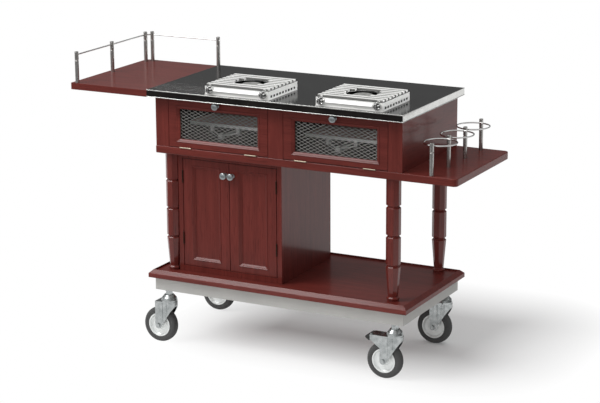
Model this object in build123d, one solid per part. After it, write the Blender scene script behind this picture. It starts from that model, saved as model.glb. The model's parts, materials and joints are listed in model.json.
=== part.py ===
from build123d import *
import math
import os

os.makedirs("parts", exist_ok=True)

# Castors, from the floor up
wheel_radius = 62.5
tyre_thickness = 20.5
tyre_width = 34.0
tyre_shoulder = 9.0
tyre_side_gap = 3.5
hub_radius = 14.0
web_thickness = 12.0
rim_wall = 5.0
rim_setback = 1.0
axle_radius = 5.0
axle_head_radius = 8.0
axle_head_length = 5.0
fork_plate = 3.0
fork_crown = 4.0
fork_clearance = 21.0
fork_trail = 34.0
fork_boss_radius = 11.0
fork_nose = 6.0
fork_skirt = 8.0
race_radius = 28.0
race_top_radius = 17.0
race_rim = 6.0
race_height = 24.0
stem_radius = 8.0
stem_head_over = 4.0
stem_head_length = 6.0
stem_collar = 2.7
stem_nut_radius = 13.0
stem_nut_length = 12.0
stem_washer_over = 2.0
stem_washer = 5.0
bolt_radius = 6.0
bolt_length = 20.0
bolt_nut_over = 4.0
bolt_nut_length = 9.0
castor_inset = 39.5

# Brake pedals
brake_travel_deg = 12.0
brake_gap = 0.8
pedal_pin_radius = 2.5
pedal_boss_radius = 5.0
pedal_back = 8.0
pedal_drop = 4.0
pedal_length = 50.0
pedal_lug_reach = 36.0
pedal_lug_drop = 44.0
pedal_thickness = 6.5
pedal_width = 30.0
shoe_width = 24.0
shoe_thickness = 4.0

# Running fits
running_gap = 0.05
turning_gap = 0.3
seat_gap = 0.02

# Steel frame and deck
frame_height = 45.0
frame_tube = 48.0
frame_wall = 2.5
frame_inset = 17.5
deck_thickness = 21.0
deck_left_over = 8.0
deck_right_over = 16.0
deck_front_over = 2.0
deck_back_inset = 13.0
lip_width = 14.0
lip_face = 15.0
lip_rise = 13.0

# Legs
leg_height = 417.0
leg_across = 46.0
leg_left_inset = 56.0
leg_right_inset = 63.0
leg_front_inset = 70.0
leg_back_inset = 56.0
groove_depth = 5.0
groove_half = 5.0
groove_pitch = 100.0
lowest_groove = 120.0
groove_top_margin = 20.0
foot_height = 14.0
foot_across = 40.0
neck_across = 31.0

# Cupboard
cupboard_leg_gap = 1.0
cupboard_width = 400.0
cupboard_front_inset = 64.0
cupboard_back_inset = 70.0
cupboard_top_rail = 17.0
cupboard_kick = 20.0
panel_thickness = 18.0
back_thickness = 6.0
door_edge_gap = 1.5
door_meeting_gap = 2.0
door_stile = 36.0
door_rail = 24.0
door_bevel = 9.0
door_sink = 7.0
door_knob_inset = 13.0
door_knob_drop = 60.0
door_hinge_top = 63.0
door_hinge_bottom = 97.0

# Upper box and the board under it
box_height = 176.0
box_end_inset = 16.0
box_front_inset = 31.0
box_back_inset = 23.0
board_thickness = 26.0
board_proud = 1.0
board_corner = 15.0
board_edge_round = 3.0
bottle_shelf_length = 190.0
stile_width = 50.0
centre_stile_width = 56.0
half_shelf_depth = 241.0
half_shelf_height = 38.4
half_shelf_thickness = 8.0
strip_thickness = 2.0
strip_over = 1.0

# Flaps
flap_side_gap = 1.5
flap_top_gap = 3.0
flap_top_rail = 31.0
flap_bottom_rail = 20.0
flap_stile = 32.0
flap_bevel = 8.0
flap_hinge_inset = 64.0
mesh_land = 2.0
mesh_thickness = 1.5
mesh_columns = 13
mesh_rows = 9
mesh_strand = 1.9

# Hinges and pull knobs
hinge_length = 44.0
hinge_radius = 2.2
hinge_pin_radius = 1.1
hinge_gap = 2.4
leaf_gap = 0.4
leaf_inset = 4.0
knuckle_gap = 0.2
pull_radius = 12.5
pull_length = 25.0
pull_foot_radius = 8.0
pull_neck_radius = 5.0

# Gas fittings
pipe_radius = 5.0
tail_radius = 2.5
elbow_radius = 7.5
elbow_length = 18.0
tee_size = 18.0
gas_offset = 82.0
gas_spread = 52.0
gas_back_gap = 30.0
inlet_nut_radius = 10.0
inlet_nut_length = 8.0
inlet_length = 30.0

# Worktop and left shelf
worktop_length = 952.0
worktop_depth = 500.0
worktop_thickness = 21.0
edge_trim = 2.0
trim_drop = 4.0
left_shelf_length = 305.5
left_shelf_drop = 3.0
left_shelf_thickness = 22.5
left_shelf_back_corner = 22.0
left_shelf_front_corner = 4.0
bracket_end_gap = 100.0
bracket_width = 30.0
bracket_thickness = 5.0
bracket_drop = 95.0
bracket_inset = 100.0
screw_radius = 2.0
screw_depth = 12.0
screw_head_radius = 4.5
screw_head_height = 2.4
screw_pitch = 50.0
screw_end = 25.0

# Gallery and bottle rack
post_radius = 7.0
post_groove = 0.8
post_groove_drop = 30.0
post_socket = 8.0
gallery_height = 106.0
gallery_end_inset = 21.5
gallery_front_inset = 10.0
gallery_back_inset = 24.0
gallery_corner = 18.0
gallery_worktop_x = 9.0
rod_radius = 2.5
rod_drop = 11.0
rod_bite = 3.0
rack_height = 107.0
rack_offset = 3.5
rack_end_inset = 10.0
ring_radius = 55.0
ring_wire = 2.5
ring_drop = 11.5
ring_stub = 3.8
ring_stub_radius = 2.0
ring_stub_bite = 2.0

# Burners
burner_width = 240.0
burner_depth = 205.0
burner_height = 30.0
burner_seat = 2.0
burner_front_inset = 16.0
burner_end_inset = 198.0
burner_pitch = 414.0
burner_sheet = 1.5
fascia_depth = 7.0
fascia_low = 14.5
fascia_lip = 1.5
fascia_high = 25.5
fascia_gap = 3.0
ledge_depth = 4.0
ledge_height = 2.5
bowl_radius = 60.0
vent_count = 9
vent_width = 13.0
vent_height = 8.0
vent_floor = 6.0
head_cup_radius = 30.0
head_crown_radius = 38.0
head_height = 31.0
head_slots = 18
head_slot_width = 2.4
knob_radius = 14.0
knob_length = 15.0
knob_bar = 2.0
knob_inset = 19.0
knob_floor_gap = 3.5
knob_shaft_radius = 3.0
knob_shaft_reach = 8.0
knob_face_gap = 1.0
grate_height = 7.0
grate_bars = 8
grate_bar_width = 16.0
grate_rail_inset = 14.0
grate_rail_width = 8.0
grate_opening = 118.0
grate_end_inset = 3.5

# Heights that follow, from the floor up
crown_bottom = 2 * wheel_radius + fork_clearance
crown_top = crown_bottom + fork_crown
race_top = crown_top + race_height
collar_top = race_top + turning_gap + stem_collar
nut_top = collar_top + stem_nut_length
frame_bottom = nut_top + stem_washer
frame_top = frame_bottom + frame_height
deck_floor = frame_top + deck_thickness
board_bottom = deck_floor + leg_height
board_top = board_bottom + board_thickness
worktop_bottom = board_top + box_height
worktop_top = worktop_bottom + worktop_thickness
shelf_top = worktop_top - left_shelf_drop
shelf_bottom = shelf_top - left_shelf_thickness

# Places in plan, from the front left corner of the worktop
box_left = box_end_inset
box_right = worktop_length - box_end_inset
box_front = box_front_inset
box_back = worktop_depth - box_back_inset
board_left = box_left - board_proud
board_right = box_right + bottle_shelf_length
board_front = box_front - board_proud
board_back = box_back + board_proud
deck_left = -deck_left_over
deck_right = worktop_length + deck_right_over
deck_front = -deck_front_over
deck_back = worktop_depth - deck_back_inset
frame_left = deck_left + frame_inset
frame_right = deck_right - frame_inset
frame_front = deck_front + frame_inset
frame_back = deck_back - frame_inset
castor_x = (frame_left + castor_inset, frame_right - castor_inset)
castor_y = (frame_front + frame_tube / 2, frame_back - frame_tube / 2)
leg_x = (leg_left_inset, worktop_length - leg_right_inset)
leg_y = (leg_front_inset, worktop_depth - leg_back_inset)
cupboard_left = leg_left_inset + leg_across / 2 + cupboard_leg_gap
cupboard_right = cupboard_left + cupboard_width
cupboard_front = cupboard_front_inset
cupboard_back = worktop_depth - cupboard_back_inset
cupboard_inner_left = cupboard_left + panel_thickness
cupboard_inner_right = cupboard_right - panel_thickness
door_low = deck_floor + cupboard_kick + door_edge_gap
door_high = board_bottom - cupboard_top_rail - door_edge_gap
door_split = (cupboard_inner_left + cupboard_inner_right) / 2
centre_x = (box_left + box_right) / 2
divider_left = centre_x - panel_thickness / 2
divider_right = centre_x + panel_thickness / 2
inside_left = box_left + panel_thickness
inside_right = box_right - panel_thickness
inside_front = box_front + panel_thickness
inside_back = box_back - back_thickness
half_shelf_front = inside_back - half_shelf_depth
half_shelf_bottom = board_top + half_shelf_height
half_shelf_top = half_shelf_bottom + half_shelf_thickness
left_end = -left_shelf_length
x_mid = (left_end + board_right) / 2
y_mid = (deck_front + worktop_depth) / 2

# Castor, gas and knob places that follow
rim_radius = wheel_radius - tyre_thickness
fork_half = tyre_width / 2 + tyre_side_gap
fork_outer = fork_half + fork_plate
fork_back = -fork_trail - fork_boss_radius
pedal_x = fork_back - pedal_back
pedal_z = crown_bottom - pedal_drop
pipe_z = board_top + tee_size / 2
tee_y = half_shelf_front - tee_size
tee_x = ((inside_left + divider_left) / 2 - gas_offset, (divider_right + inside_right) / 2 - gas_offset)
elbow_y = half_shelf_front + strip_over + elbow_radius
manifold_y = inside_back - gas_back_gap
knob_x = burner_width / 2 - knob_inset
knob_z = knob_radius + knob_floor_gap


def block(x0, x1, y0, y1, z0, z1):
    centre = Pos((x0 + x1) / 2, (y0 + y1) / 2, (z0 + z1) / 2)
    return centre * Box(x1 - x0, y1 - y0, z1 - z0)


def rod(radius, start, end):
    run = Vector(*end) - Vector(*start)
    return extrude(Plane(origin=start, z_dir=run) * Circle(radius), amount=run.length)


def prism(points, run):
    face = make_face(Polyline(*points, close=True))
    return extrude(face, amount=Vector(*run).length, dir=run)


def side_plate(points, y0, y1):
    return prism([(x, y0, z) for x, z in points], (0, y1 - y0, 0))


def turned(points):
    profile = make_face(Polyline(*[(r, 0, z) for r, z in points], close=True))
    return revolve(profile, axis=Axis.Z)


def hexagon(radius, z0, z1):
    return extrude(Pos(0, 0, z0) * RegularPolygon(radius, 6), amount=z1 - z0)


def octagon(across, z):
    return Pos(0, 0, z) * RegularPolygon(across / 2 / math.cos(math.pi / 8), 8, rotation=22.5)


def upright(cx, y, cz, width, height):
    plane = Plane(origin=(cx, y, cz), x_dir=(1, 0, 0), z_dir=(0, -1, 0))
    return plane * Rectangle(width, height)


def save(name, *shapes):
    solids = []
    for shape in shapes:
        moved = Pos(-x_mid, -y_mid, 0) * shape
        solids.extend(moved.solids())
    whole = solids[0] if len(solids) == 1 else Compound(children=solids)
    export_step(whole, f"parts/{name}.step")


# Steel frame: front and back tubes with closed ends, side tubes and a cross tube between them
def chassis_frame():
    wall = frame_wall
    z0 = frame_bottom
    z1 = frame_top
    tubes = []
    for y in castor_y:
        y0 = y - frame_tube / 2
        y1 = y + frame_tube / 2
        tube = block(frame_left, frame_right, y0, y1, z0, z1)
        tube -= block(frame_left + wall, frame_right - wall, y0 + wall, y1 - wall, z0 + wall, z1 - wall)
        for x in castor_x:
            tube -= rod(bolt_radius + running_gap, (x, y, z0 - wall), (x, y, z0 + 2 * wall))
        tubes.append(tube)
    y0 = frame_front + frame_tube
    y1 = frame_back - frame_tube
    middle = (frame_left + frame_right - frame_tube) / 2
    for x0 in (frame_left, middle, frame_right - frame_tube):
        x1 = x0 + frame_tube
        tube = block(x0, x1, y0, y1, z0, z1)
        tubes.append(tube - block(x0 + wall, x1 - wall, y0, y1, z0 + wall, z1 - wall))
    return tubes


# Raised edge of the deck in four mitred lengths
def deck_moulding():
    z0 = frame_top
    z1 = z0 + lip_face
    z2 = z1 + lip_rise
    x0 = deck_left
    x1 = deck_right
    y0 = deck_front
    y1 = deck_back
    w = lip_width
    strips = []
    for y, inner in ((y0, y0 + w), (y1, y1 - w)):
        section = prism([(x0, y, z0), (x0, y, z1), (x0, inner, z2), (x0, inner, z0)], (x1 - x0, 0, 0))
        plan = prism([(x0, y, z0), (x1, y, z0), (x1 - w, inner, z0), (x0 + w, inner, z0)], (0, 0, z2 - z0))
        strips.append(section & plan)
    for x, inner in ((x0, x0 + w), (x1, x1 - w)):
        section = prism([(x, y0, z0), (x, y0, z1), (inner, y0, z2), (inner, y0, z0)], (0, y1 - y0, 0))
        plan = prism([(x, y0, z0), (x, y1, z0), (inner, y1 - w, z0), (inner, y0 + w, z0)], (0, 0, z2 - z0))
        strips.append(section & plan)
    return strips


# Octagonal leg with V grooves, tapered below the lowest one
def leg():
    toe = foot_across - foot_height / 4
    steps = [(0, toe), (foot_height / 4, toe), (foot_height / 2, foot_across)]
    steps += [(foot_height * 0.7, foot_across), (foot_height, neck_across)]
    room = leg_height - lowest_groove - groove_half - groove_top_margin
    for k in range(int(room // groove_pitch) + 1):
        z = lowest_groove + k * groove_pitch
        steps.append((z - groove_half, leg_across))
        steps.append((z, leg_across - 2 * groove_depth))
        steps.append((z + groove_half, leg_across))
    steps.append((leg_height, leg_across))
    return loft([octagon(across, deck_floor + z) for z, across in steps], ruled=True)


# Castor stem on the swivel axis, with its head below the fork and its nut inside the tube
def castor_stem():
    under = crown_bottom - turning_gap
    head = stem_radius + stem_head_over
    low = under - stem_head_length
    seat = race_top + turning_gap
    profile = [(0, low), (head, low), (head, under), (stem_radius, under), (stem_radius, seat)]
    profile += [(stem_nut_radius, seat), (stem_nut_radius, collar_top), (0, collar_top)]
    stem = turned(profile)
    stem += hexagon(stem_nut_radius, collar_top, nut_top)
    stem += rod(stem_nut_radius + stem_washer_over, (0, 0, nut_top), (0, 0, frame_bottom))
    stem += rod(bolt_radius, (0, 0, nut_top), (0, 0, frame_bottom + bolt_length))
    inside = frame_bottom + frame_wall
    return stem + hexagon(bolt_radius + bolt_nut_over, inside, inside + bolt_nut_length)


# Castor fork with race and axle, the wheel trailing to -X; the sides run on round the nose and are cut back
# on a slant above the tyre
def castor_fork(braked):
    tip = -fork_trail + fork_boss_radius
    tip_z = wheel_radius - fork_boss_radius / 2
    nose = fork_nose + fork_outer
    side = [(fork_back, crown_top), (nose, crown_top), (nose, crown_bottom - fork_skirt)]
    side += [(tip, tip_z), (fork_back, wheel_radius)]
    fork = block(fork_back, fork_nose, -fork_outer, fork_outer, tip_z, crown_top)
    fork += rod(fork_outer, (fork_nose, 0, tip_z), (fork_nose, 0, crown_top))
    fork -= block(fork_back, fork_nose, -fork_half, fork_half, tip_z, crown_bottom)
    fork -= rod(fork_half, (fork_nose, 0, tip_z), (fork_nose, 0, crown_bottom))
    fork &= side_plate(side, -fork_outer, fork_outer)
    lug = [(fork_back + fork_plate, crown_top), (fork_back + fork_plate, crown_top - pedal_lug_drop)]
    lug += [(fork_back - 0.3 * pedal_lug_reach, crown_top - 0.82 * pedal_lug_drop)]
    lug += [(fork_back - pedal_lug_reach, crown_top - 0.35 * pedal_lug_drop)]
    lug += [(fork_back - pedal_lug_reach, crown_top)]
    for y0 in (-fork_outer, fork_half):
        y1 = y0 + fork_plate
        fork += rod(fork_boss_radius, (-fork_trail, y0, wheel_radius), (-fork_trail, y1, wheel_radius))
        if braked:
            fork += side_plate(lug, y0, y1)
    if braked:
        fork += rod(pedal_pin_radius, (pedal_x, -fork_outer, pedal_z), (pedal_x, fork_outer, pedal_z))
    race = [(0, crown_top), (race_radius, crown_top), (race_radius, crown_top + race_rim)]
    race += [(0.9 * race_radius, crown_top + 0.6 * race_height), (race_top_radius, race_top), (0, race_top)]
    fork += turned(race)
    fork -= rod(stem_radius + running_gap, (0, 0, crown_bottom - fork_crown), (0, 0, race_top + fork_crown))
    axle_x = -fork_trail
    fork += rod(axle_radius, (axle_x, -fork_outer, wheel_radius), (axle_x, fork_outer, wheel_radius))
    for y in (-fork_outer - axle_head_length, fork_outer):
        plane = Plane(origin=(axle_x, y, wheel_radius), z_dir=(0, 1, 0))
        fork += extrude(plane * RegularPolygon(axle_head_radius, 6), amount=axle_head_length)
    return fork


def on_axle(profile):
    mirrored = [(r, -z) for r, z in reversed(profile)]
    return Pos(-fork_trail, 0, wheel_radius) * Rot(90, 0, 0) * turned(profile + mirrored)


def castor_wheel():
    rim = tyre_width / 2 - rim_setback
    hub = fork_half - turning_gap
    web = web_thickness / 2
    slant = rim_wall / 2
    profile = [(axle_radius + running_gap, -hub), (hub_radius, -hub), (hub_radius + slant, -web)]
    profile += [(rim_radius - rim_wall - slant, -web), (rim_radius - rim_wall, -rim), (rim_radius, -rim)]
    return on_axle(profile)


def castor_tyre():
    half = tyre_width / 2
    shoulder = min(tyre_shoulder, 0.45 * tyre_thickness)
    profile = [(rim_radius, -half + rim_setback), (rim_radius + shoulder / 3, -half)]
    profile += [(wheel_radius - shoulder, -half), (wheel_radius - shoulder / 3, -half * 0.8)]
    profile += [(wheel_radius - shoulder / 15, -half * 0.47), (wheel_radius, -half * 0.13)]
    return on_axle(profile)


# Brake pedal on its pin behind the fork; pressed down, the shoe points at the wheel centre
def brake_pedal():
    run = math.hypot(-fork_trail - pedal_x, pedal_z - wheel_radius)
    lean = math.degrees(math.asin((-fork_trail - pedal_x) / run))
    reach = run - wheel_radius - brake_gap
    half = fork_half - 2 * turning_gap
    t = pedal_thickness
    n = pedal_length
    lever = [(0, t), (-0.28 * n, 1.4 * t), (-0.5 * n, 1.6 * t), (-0.62 * n, 1.4 * t), (-0.94 * n, -0.3 * t)]
    lever += [(-0.96 * n, -t), (-0.7 * n, -2.4 * t), (-0.64 * n, -2 * t), (-0.72 * n, -0.4 * t)]
    lever += [(-0.5 * n, 0.5 * t), (-0.28 * n, 0.3 * t), (0, -t / 2)]
    pedal = rod(pedal_boss_radius, (0, -half, 0), (0, half, 0))
    pedal += side_plate(lever, -pedal_width / 2, pedal_width / 2)
    shoe = block(-shoe_thickness / 2, shoe_thickness / 2, -shoe_width / 2, shoe_width / 2, -reach, 0)
    pedal += Rot(0, brake_travel_deg - lean, 0) * shoe
    pedal -= rod(pedal_pin_radius + running_gap, (0, -fork_half, 0), (0, fork_half, 0))
    return Pos(pedal_x, 0, pedal_z) * pedal


# Hinge with its pin along Z, leaves running to +Y, fixed leaf on the -X side
def hinge_pair():
    half = hinge_length / 2
    third = hinge_length / 3
    side = hinge_gap / 2
    inner = leaf_gap / 2
    tab = hinge_radius + leaf_gap
    end = hinge_radius + panel_thickness - leaf_inset
    inset = knuckle_gap / 2
    knuckle = Cylinder(hinge_radius, third - knuckle_gap)
    fixed = block(-side, -inner, tab, end, -half, half) + Cylinder(hinge_pin_radius, hinge_length)
    for low in (-half, half - third):
        fixed += Pos(0, 0, low + third / 2) * knuckle
        fixed += block(-side, -inner, 0, tab, low + inset, low + third - inset)
    moving = block(inner, side, tab, end, -half, half) + knuckle
    moving += block(inner, side, 0, tab, -third / 2 + inset, third / 2 - inset)
    moving -= Cylinder(hinge_pin_radius + running_gap, hinge_length)
    return fixed, moving


# Pull knob standing out to -Y from its foot at the origin
def pull_knob():
    n = pull_length
    r = pull_radius
    profile = [(0, 0), (pull_foot_radius, 0), (pull_foot_radius, 0.1 * n), (pull_neck_radius, 0.2 * n)]
    profile += [(pull_neck_radius, 0.4 * n), (0.8 * r, 0.52 * n), (r, 0.68 * n), (r, 0.8 * n)]
    return Rot(90, 0, 0) * turned(profile + [(0.8 * r, 0.94 * n), (0, n)])


# Edges and mesh opening of a flap between two stiles
def flap_sizes(x0, x1):
    left = x0 + flap_side_gap
    right = x1 - flap_side_gap
    low = board_top + hinge_gap
    high = worktop_bottom - flap_top_gap
    width = right - left - 2 * flap_stile
    height = high - low - flap_top_rail - flap_bottom_rail
    return left, right, low, high, width, height


def flap_centre(x0, x1):
    left, right, low, high, width, height = flap_sizes(x0, x1)
    return (left + right) / 2, low + flap_bottom_rail + height / 2


# Flap frame with a bevelled opening and a rebate behind for the mesh
def flap_frame(x0, x1):
    left, right, low, high, width, height = flap_sizes(x0, x1)
    cx, cz = flap_centre(x0, x1)
    frame = block(left, right, box_front, inside_front, low, high)
    narrow = width - 2 * flap_bevel
    short = height - 2 * flap_bevel
    outer = upright(cx, box_front, cz, width, height)
    frame -= loft([outer, upright(cx, box_front + flap_bevel, cz, narrow, short)], ruled=True)
    frame -= extrude(upright(cx, inside_front, cz, narrow, short), amount=panel_thickness)
    rebate = panel_thickness - flap_bevel - mesh_land
    return frame - extrude(upright(cx, inside_front, cz, width, height), amount=rebate)


# Diamond mesh as one holed face, thickened
def flap_mesh(x0, x1):
    left, right, low, high, width, height = flap_sizes(x0, x1)
    cx, cz = flap_centre(x0, x1)
    y = box_front + flap_bevel + mesh_land
    step_x = (width - 2 * flap_bevel) / mesh_columns
    step_z = (height - 2 * flap_bevel) / mesh_rows
    slope = math.hypot(step_x, step_z)
    half_x = (step_x - mesh_strand * slope / step_z) / 2
    half_z = (step_z - mesh_strand * slope / step_x) / 2
    holes = []
    for row in range(2 * mesh_rows - 1):
        odd = row % 2
        for col in range(mesh_columns - odd):
            x = cx - width / 2 + flap_bevel + step_x * (col + 0.5 + 0.5 * odd)
            z = cz - height / 2 + flap_bevel + step_z * (row + 1) / 2
            diamond = [(x - half_x, y, z), (x, y, z + half_z), (x + half_x, y, z), (x, y, z - half_z)]
            holes.append(Wire(Polyline(*diamond, close=True).edges()))
    rim = upright(cx, y, cz, width, height).wire()
    return extrude(Face(rim, holes), amount=mesh_thickness, dir=(0, 1, 0))


# Cupboard door with a sunk, bevelled panel
def cupboard_door(x0, x1):
    cx = (x0 + x1) / 2
    cz = (door_low + door_high) / 2
    width = x1 - x0 - 2 * door_stile
    height = door_high - door_low - 2 * door_rail
    outer = upright(cx, cupboard_front, cz, width, height)
    inner = upright(cx, cupboard_front + door_sink, cz, width - 2 * door_bevel, height - 2 * door_bevel)
    door = block(x0, x1, cupboard_front, cupboard_front + panel_thickness, door_low, door_high)
    return door - loft([outer, inner], ruled=True)


# Gas fittings under the half shelves, tails to a tee on the board, a pipe behind that joins the two tees,
# and the inlet through the board into the cupboard
def gas_pipework():
    gas = rod(pipe_radius, (tee_x[0], manifold_y, pipe_z), (tee_x[1], manifold_y, pipe_z))
    low = half_shelf_bottom - elbow_length
    for x in tee_x:
        gas += Pos(x, tee_y, pipe_z) * Box(tee_size, tee_size, tee_size)
        gas += rod(pipe_radius, (x, tee_y, pipe_z), (x, manifold_y, pipe_z))
        gas += Pos(x, manifold_y, pipe_z) * Sphere(pipe_radius)
        for side in (-gas_spread, gas_spread):
            gas += rod(elbow_radius, (x + side, elbow_y, low), (x + side, elbow_y, half_shelf_bottom))
            gas += Pos(x + side, elbow_y, low) * Sphere(elbow_radius)
            gas += rod(tail_radius, (x + side, elbow_y, low), (x, tee_y, pipe_z))
    nut_z = board_bottom - inlet_nut_length
    gas += rod(pipe_radius, (tee_x[0], tee_y, pipe_z), (tee_x[0], tee_y, nut_z - inlet_length))
    return gas + Pos(tee_x[0], tee_y, 0) * hexagon(inlet_nut_radius, nut_z, board_bottom)


# Seat let into the worktop for a burner body and its front ledge
def burner_recess():
    half = burner_width / 2 + seat_gap
    return block(-half, half, -ledge_depth - seat_gap, burner_depth + seat_gap, -burner_seat, burner_seat)


# Burner body: sheet box with vents in its sides, a ledge in front and a sloping fascia between the knobs
def burner_body():
    hw = burner_width / 2
    s = burner_sheet
    low = -burner_seat
    middle = burner_depth / 2
    body = block(-hw, hw, 0, burner_depth, low, burner_height)
    body -= block(-hw + s, hw - s, s, burner_depth - s, low + s, burner_height - s)
    body -= rod(bowl_radius, (0, middle, burner_height - 2 * s), (0, middle, burner_height + s))
    body += block(-hw, hw, -ledge_depth, 0, low, ledge_height)
    edge = knob_x - knob_radius - fascia_gap
    out = -fascia_depth
    fascia = [(-edge, 0, fascia_low), (-edge, out, fascia_low), (-edge, out, fascia_low + fascia_lip)]
    body += prism(fascia + [(-edge, 0, fascia_high)], (2 * edge, 0, 0))
    vent_top = vent_floor + vent_height
    for k in range(vent_count):
        y = burner_depth * (k + 1) / (vent_count + 1)
        body -= block(-hw - s, hw + s, y - vent_width / 2, y + vent_width / 2, vent_floor, vent_top)
    for x in (-knob_x, knob_x):
        body -= rod(knob_shaft_radius + running_gap, (x, -s, knob_z), (x, 2 * s, knob_z))
    return body


# Burner head: cup, slotted crown and a flat cap
def burner_head():
    z0 = burner_sheet - burner_seat
    h = head_height
    crown = head_crown_radius
    cap = 0.8 * crown
    profile = [(0, z0), (head_cup_radius, z0), (head_cup_radius, z0 + 0.4 * h), (0.95 * crown, z0 + 0.6 * h)]
    profile += [(crown, z0 + 0.75 * h), (0.95 * crown, z0 + 0.85 * h), (cap, z0 + 0.85 * h)]
    profile += [(cap, z0 + 0.94 * h), (0.55 * crown, z0 + h), (0, z0 + h)]
    head = turned(profile)
    slot = Pos(0.97 * crown, 0, z0 + 0.83 * h) * Box(0.2 * crown, head_slot_width, 0.12 * h)
    for k in range(head_slots):
        head -= Rot(0, 0, k * 360 / head_slots) * slot
    return head


# Lift-off pan support: two side rails and bars across, cut back to fingers round the flame
def pan_support():
    z0 = burner_height + seat_gap
    z1 = z0 + grate_height
    hw = burner_width / 2 - grate_end_inset
    hd = burner_depth / 2
    step = 0.3 * grate_height
    support = Part()
    for k in range(grate_bars):
        y = burner_depth * ((k + 0.5) / grate_bars - 0.5)
        y0 = y - grate_bar_width / 2
        y1 = y + grate_bar_width / 2
        bar = block(-hw, hw, y0, y1, z0, z1)
        gap = math.sqrt(max(0, (grate_opening / 2) ** 2 - y * y))
        if gap > grate_bar_width:
            bar -= block(-gap, gap, y0, y1, z0, z1)
        support += bar
    for x in (-hw + grate_rail_inset, hw - grate_rail_inset):
        support += block(x - grate_rail_width / 2, x + grate_rail_width / 2, -hd, hd, z0, z1 - step)
    return Pos(0, hd, 0) * support


# Burner knob: shaft through the front of the body, grip bar across its face
def burner_knob():
    start = knob_face_gap
    end = start + knob_length
    profile = [(0, -knob_shaft_reach), (knob_shaft_radius, -knob_shaft_reach), (knob_shaft_radius, start)]
    profile += [(knob_radius, start), (knob_radius, start + 0.3 * knob_length)]
    profile += [(0.86 * knob_radius, start + 0.4 * knob_length), (0.8 * knob_radius, end), (0, end)]
    bar = Pos(0, 0, end) * Box(0.3 * knob_radius, 1.4 * knob_radius, 2 * knob_bar)
    return Rot(90, 0, 0) * (turned(profile) + bar)


# Turned post in a socket, with a ring groove below its top
def grooved_post(height):
    neck = post_radius - post_groove
    z = height - post_groove_drop
    profile = [(0, -post_socket), (post_radius, -post_socket), (post_radius, z - 2 * post_groove)]
    profile += [(neck, z - post_groove), (neck, z + post_groove), (post_radius, z + 2 * post_groove)]
    profile += [(post_radius, height - post_groove), (neck, height), (0, height)]
    return turned(profile)


def post_hole(x, y, top):
    return rod(post_radius + seat_gap, (x, y, top - post_socket), (x, y, top + 1))


# Rolling base
save("chassis_frame", *chassis_frame())
deck = block(deck_left + lip_width, deck_right - lip_width, deck_front + lip_width, deck_back - lip_width,
             frame_top, deck_floor)
save("deck_board", deck)
save("deck_edge_moulding", *deck_moulding())
castors = {"fl": (0, 0), "fr": (1, 0), "bl": (0, 1), "br": (1, 1)}
stems = []
for name, (i, j) in castors.items():
    spot = Pos(castor_x[i], castor_y[j], 0)
    braked = name in ("fr", "bl")
    stems.append(spot * castor_stem())
    save(f"castor_fork_{name}", spot * castor_fork(braked))
    save(f"castor_wheel_{name}", spot * castor_wheel())
    save(f"castor_tyre_{name}", spot * castor_tyre())
    if braked:
        save(f"brake_pedal_{name}", spot * brake_pedal())
save("castor_stems", *stems)

# Legs and cupboard
one_leg = leg()
save("legs", *[Pos(x, y, 0) * one_leg for x in leg_x for y in leg_y])
cupboard_sides = []
for a, b in ((cupboard_left, cupboard_inner_left), (cupboard_inner_right, cupboard_right)):
    cupboard_sides.append(block(a, b, cupboard_front, cupboard_back, deck_floor, board_bottom))
save("cupboard_sides", *cupboard_sides)
half_meeting = door_meeting_gap / 2
doors = {"left": (cupboard_inner_left + hinge_gap, door_split - half_meeting, -1),
         "right": (door_split + half_meeting, cupboard_inner_right - hinge_gap, 1)}
for name, (a, b, sign) in doors.items():
    knob_at = door_split + sign * (half_meeting + door_knob_inset)
    save(f"cupboard_door_{name}", cupboard_door(a, b))
    save(f"cupboard_knob_{name}", Pos(knob_at, cupboard_front, board_bottom - door_knob_drop) * pull_knob())

# Upper box; the rack takes as many rings as the board is deep, each between two posts
rack_pitch = 2 * (ring_radius + ring_wire + ring_stub + post_radius)
ring_count = int((board_back - board_front - 2 * rack_end_inset) // rack_pitch)
rack_x = (box_right + board_right) / 2 + rack_offset
rack_y = [board_front + rack_end_inset + rack_pitch * k for k in range(ring_count + 1)]
board = block(board_left, board_right, board_front, board_back, board_bottom, board_top)
board = fillet(board.edges().filter_by(Axis.Z).group_by(Axis.X)[-1], board_corner)
board = fillet(board.faces().sort_by(Axis.Z)[-1].edges(), board_edge_round)
board = fillet(board.faces().sort_by(Axis.Z)[0].edges(), board_edge_round)
hole_low = (tee_x[0], tee_y, board_bottom - 1)
hole_high = (tee_x[0], tee_y, board_top + 1)
board -= rod(pipe_radius + running_gap, hole_low, hole_high)
for y in rack_y:
    board -= post_hole(rack_x, y, board_top)
save("bottom_board", board)
bracket_y = (box_front + bracket_inset, box_back - bracket_inset)
wall_screw_low = shelf_bottom - bracket_drop + screw_end
wall_screw_z = (wall_screw_low, wall_screw_low + screw_pitch)
side_left = block(box_left, inside_left, inside_front, box_back, board_top, worktop_bottom)
for y in bracket_y:
    for z in wall_screw_z:
        side_left -= rod(screw_radius + seat_gap, (box_left - 1, y, z), (box_left + screw_depth, y, z))
side_right = block(inside_right, box_right, inside_front, box_back, board_top, worktop_bottom)
save("upper_sides", side_left, side_right)
upper_back = block(inside_left, inside_right, inside_back, box_back, board_top, worktop_bottom)
lower_back = block(cupboard_inner_left, cupboard_inner_right, cupboard_back - back_thickness, cupboard_back,
                   deck_floor, board_bottom)
save("back_panels", upper_back, lower_back)
divider = block(divider_left, divider_right, inside_front, inside_back, board_top, worktop_bottom)
hole_left = (divider_left - 1, manifold_y, pipe_z)
hole_right = (divider_right + 1, manifold_y, pipe_z)
save("centre_divider", divider - rod(pipe_radius + running_gap, hole_left, hole_right))
stiles = [(box_left, box_left + stile_width), (box_right - stile_width, box_right)]
stiles.append((centre_x - centre_stile_width / 2, centre_x + centre_stile_width / 2))
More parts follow.
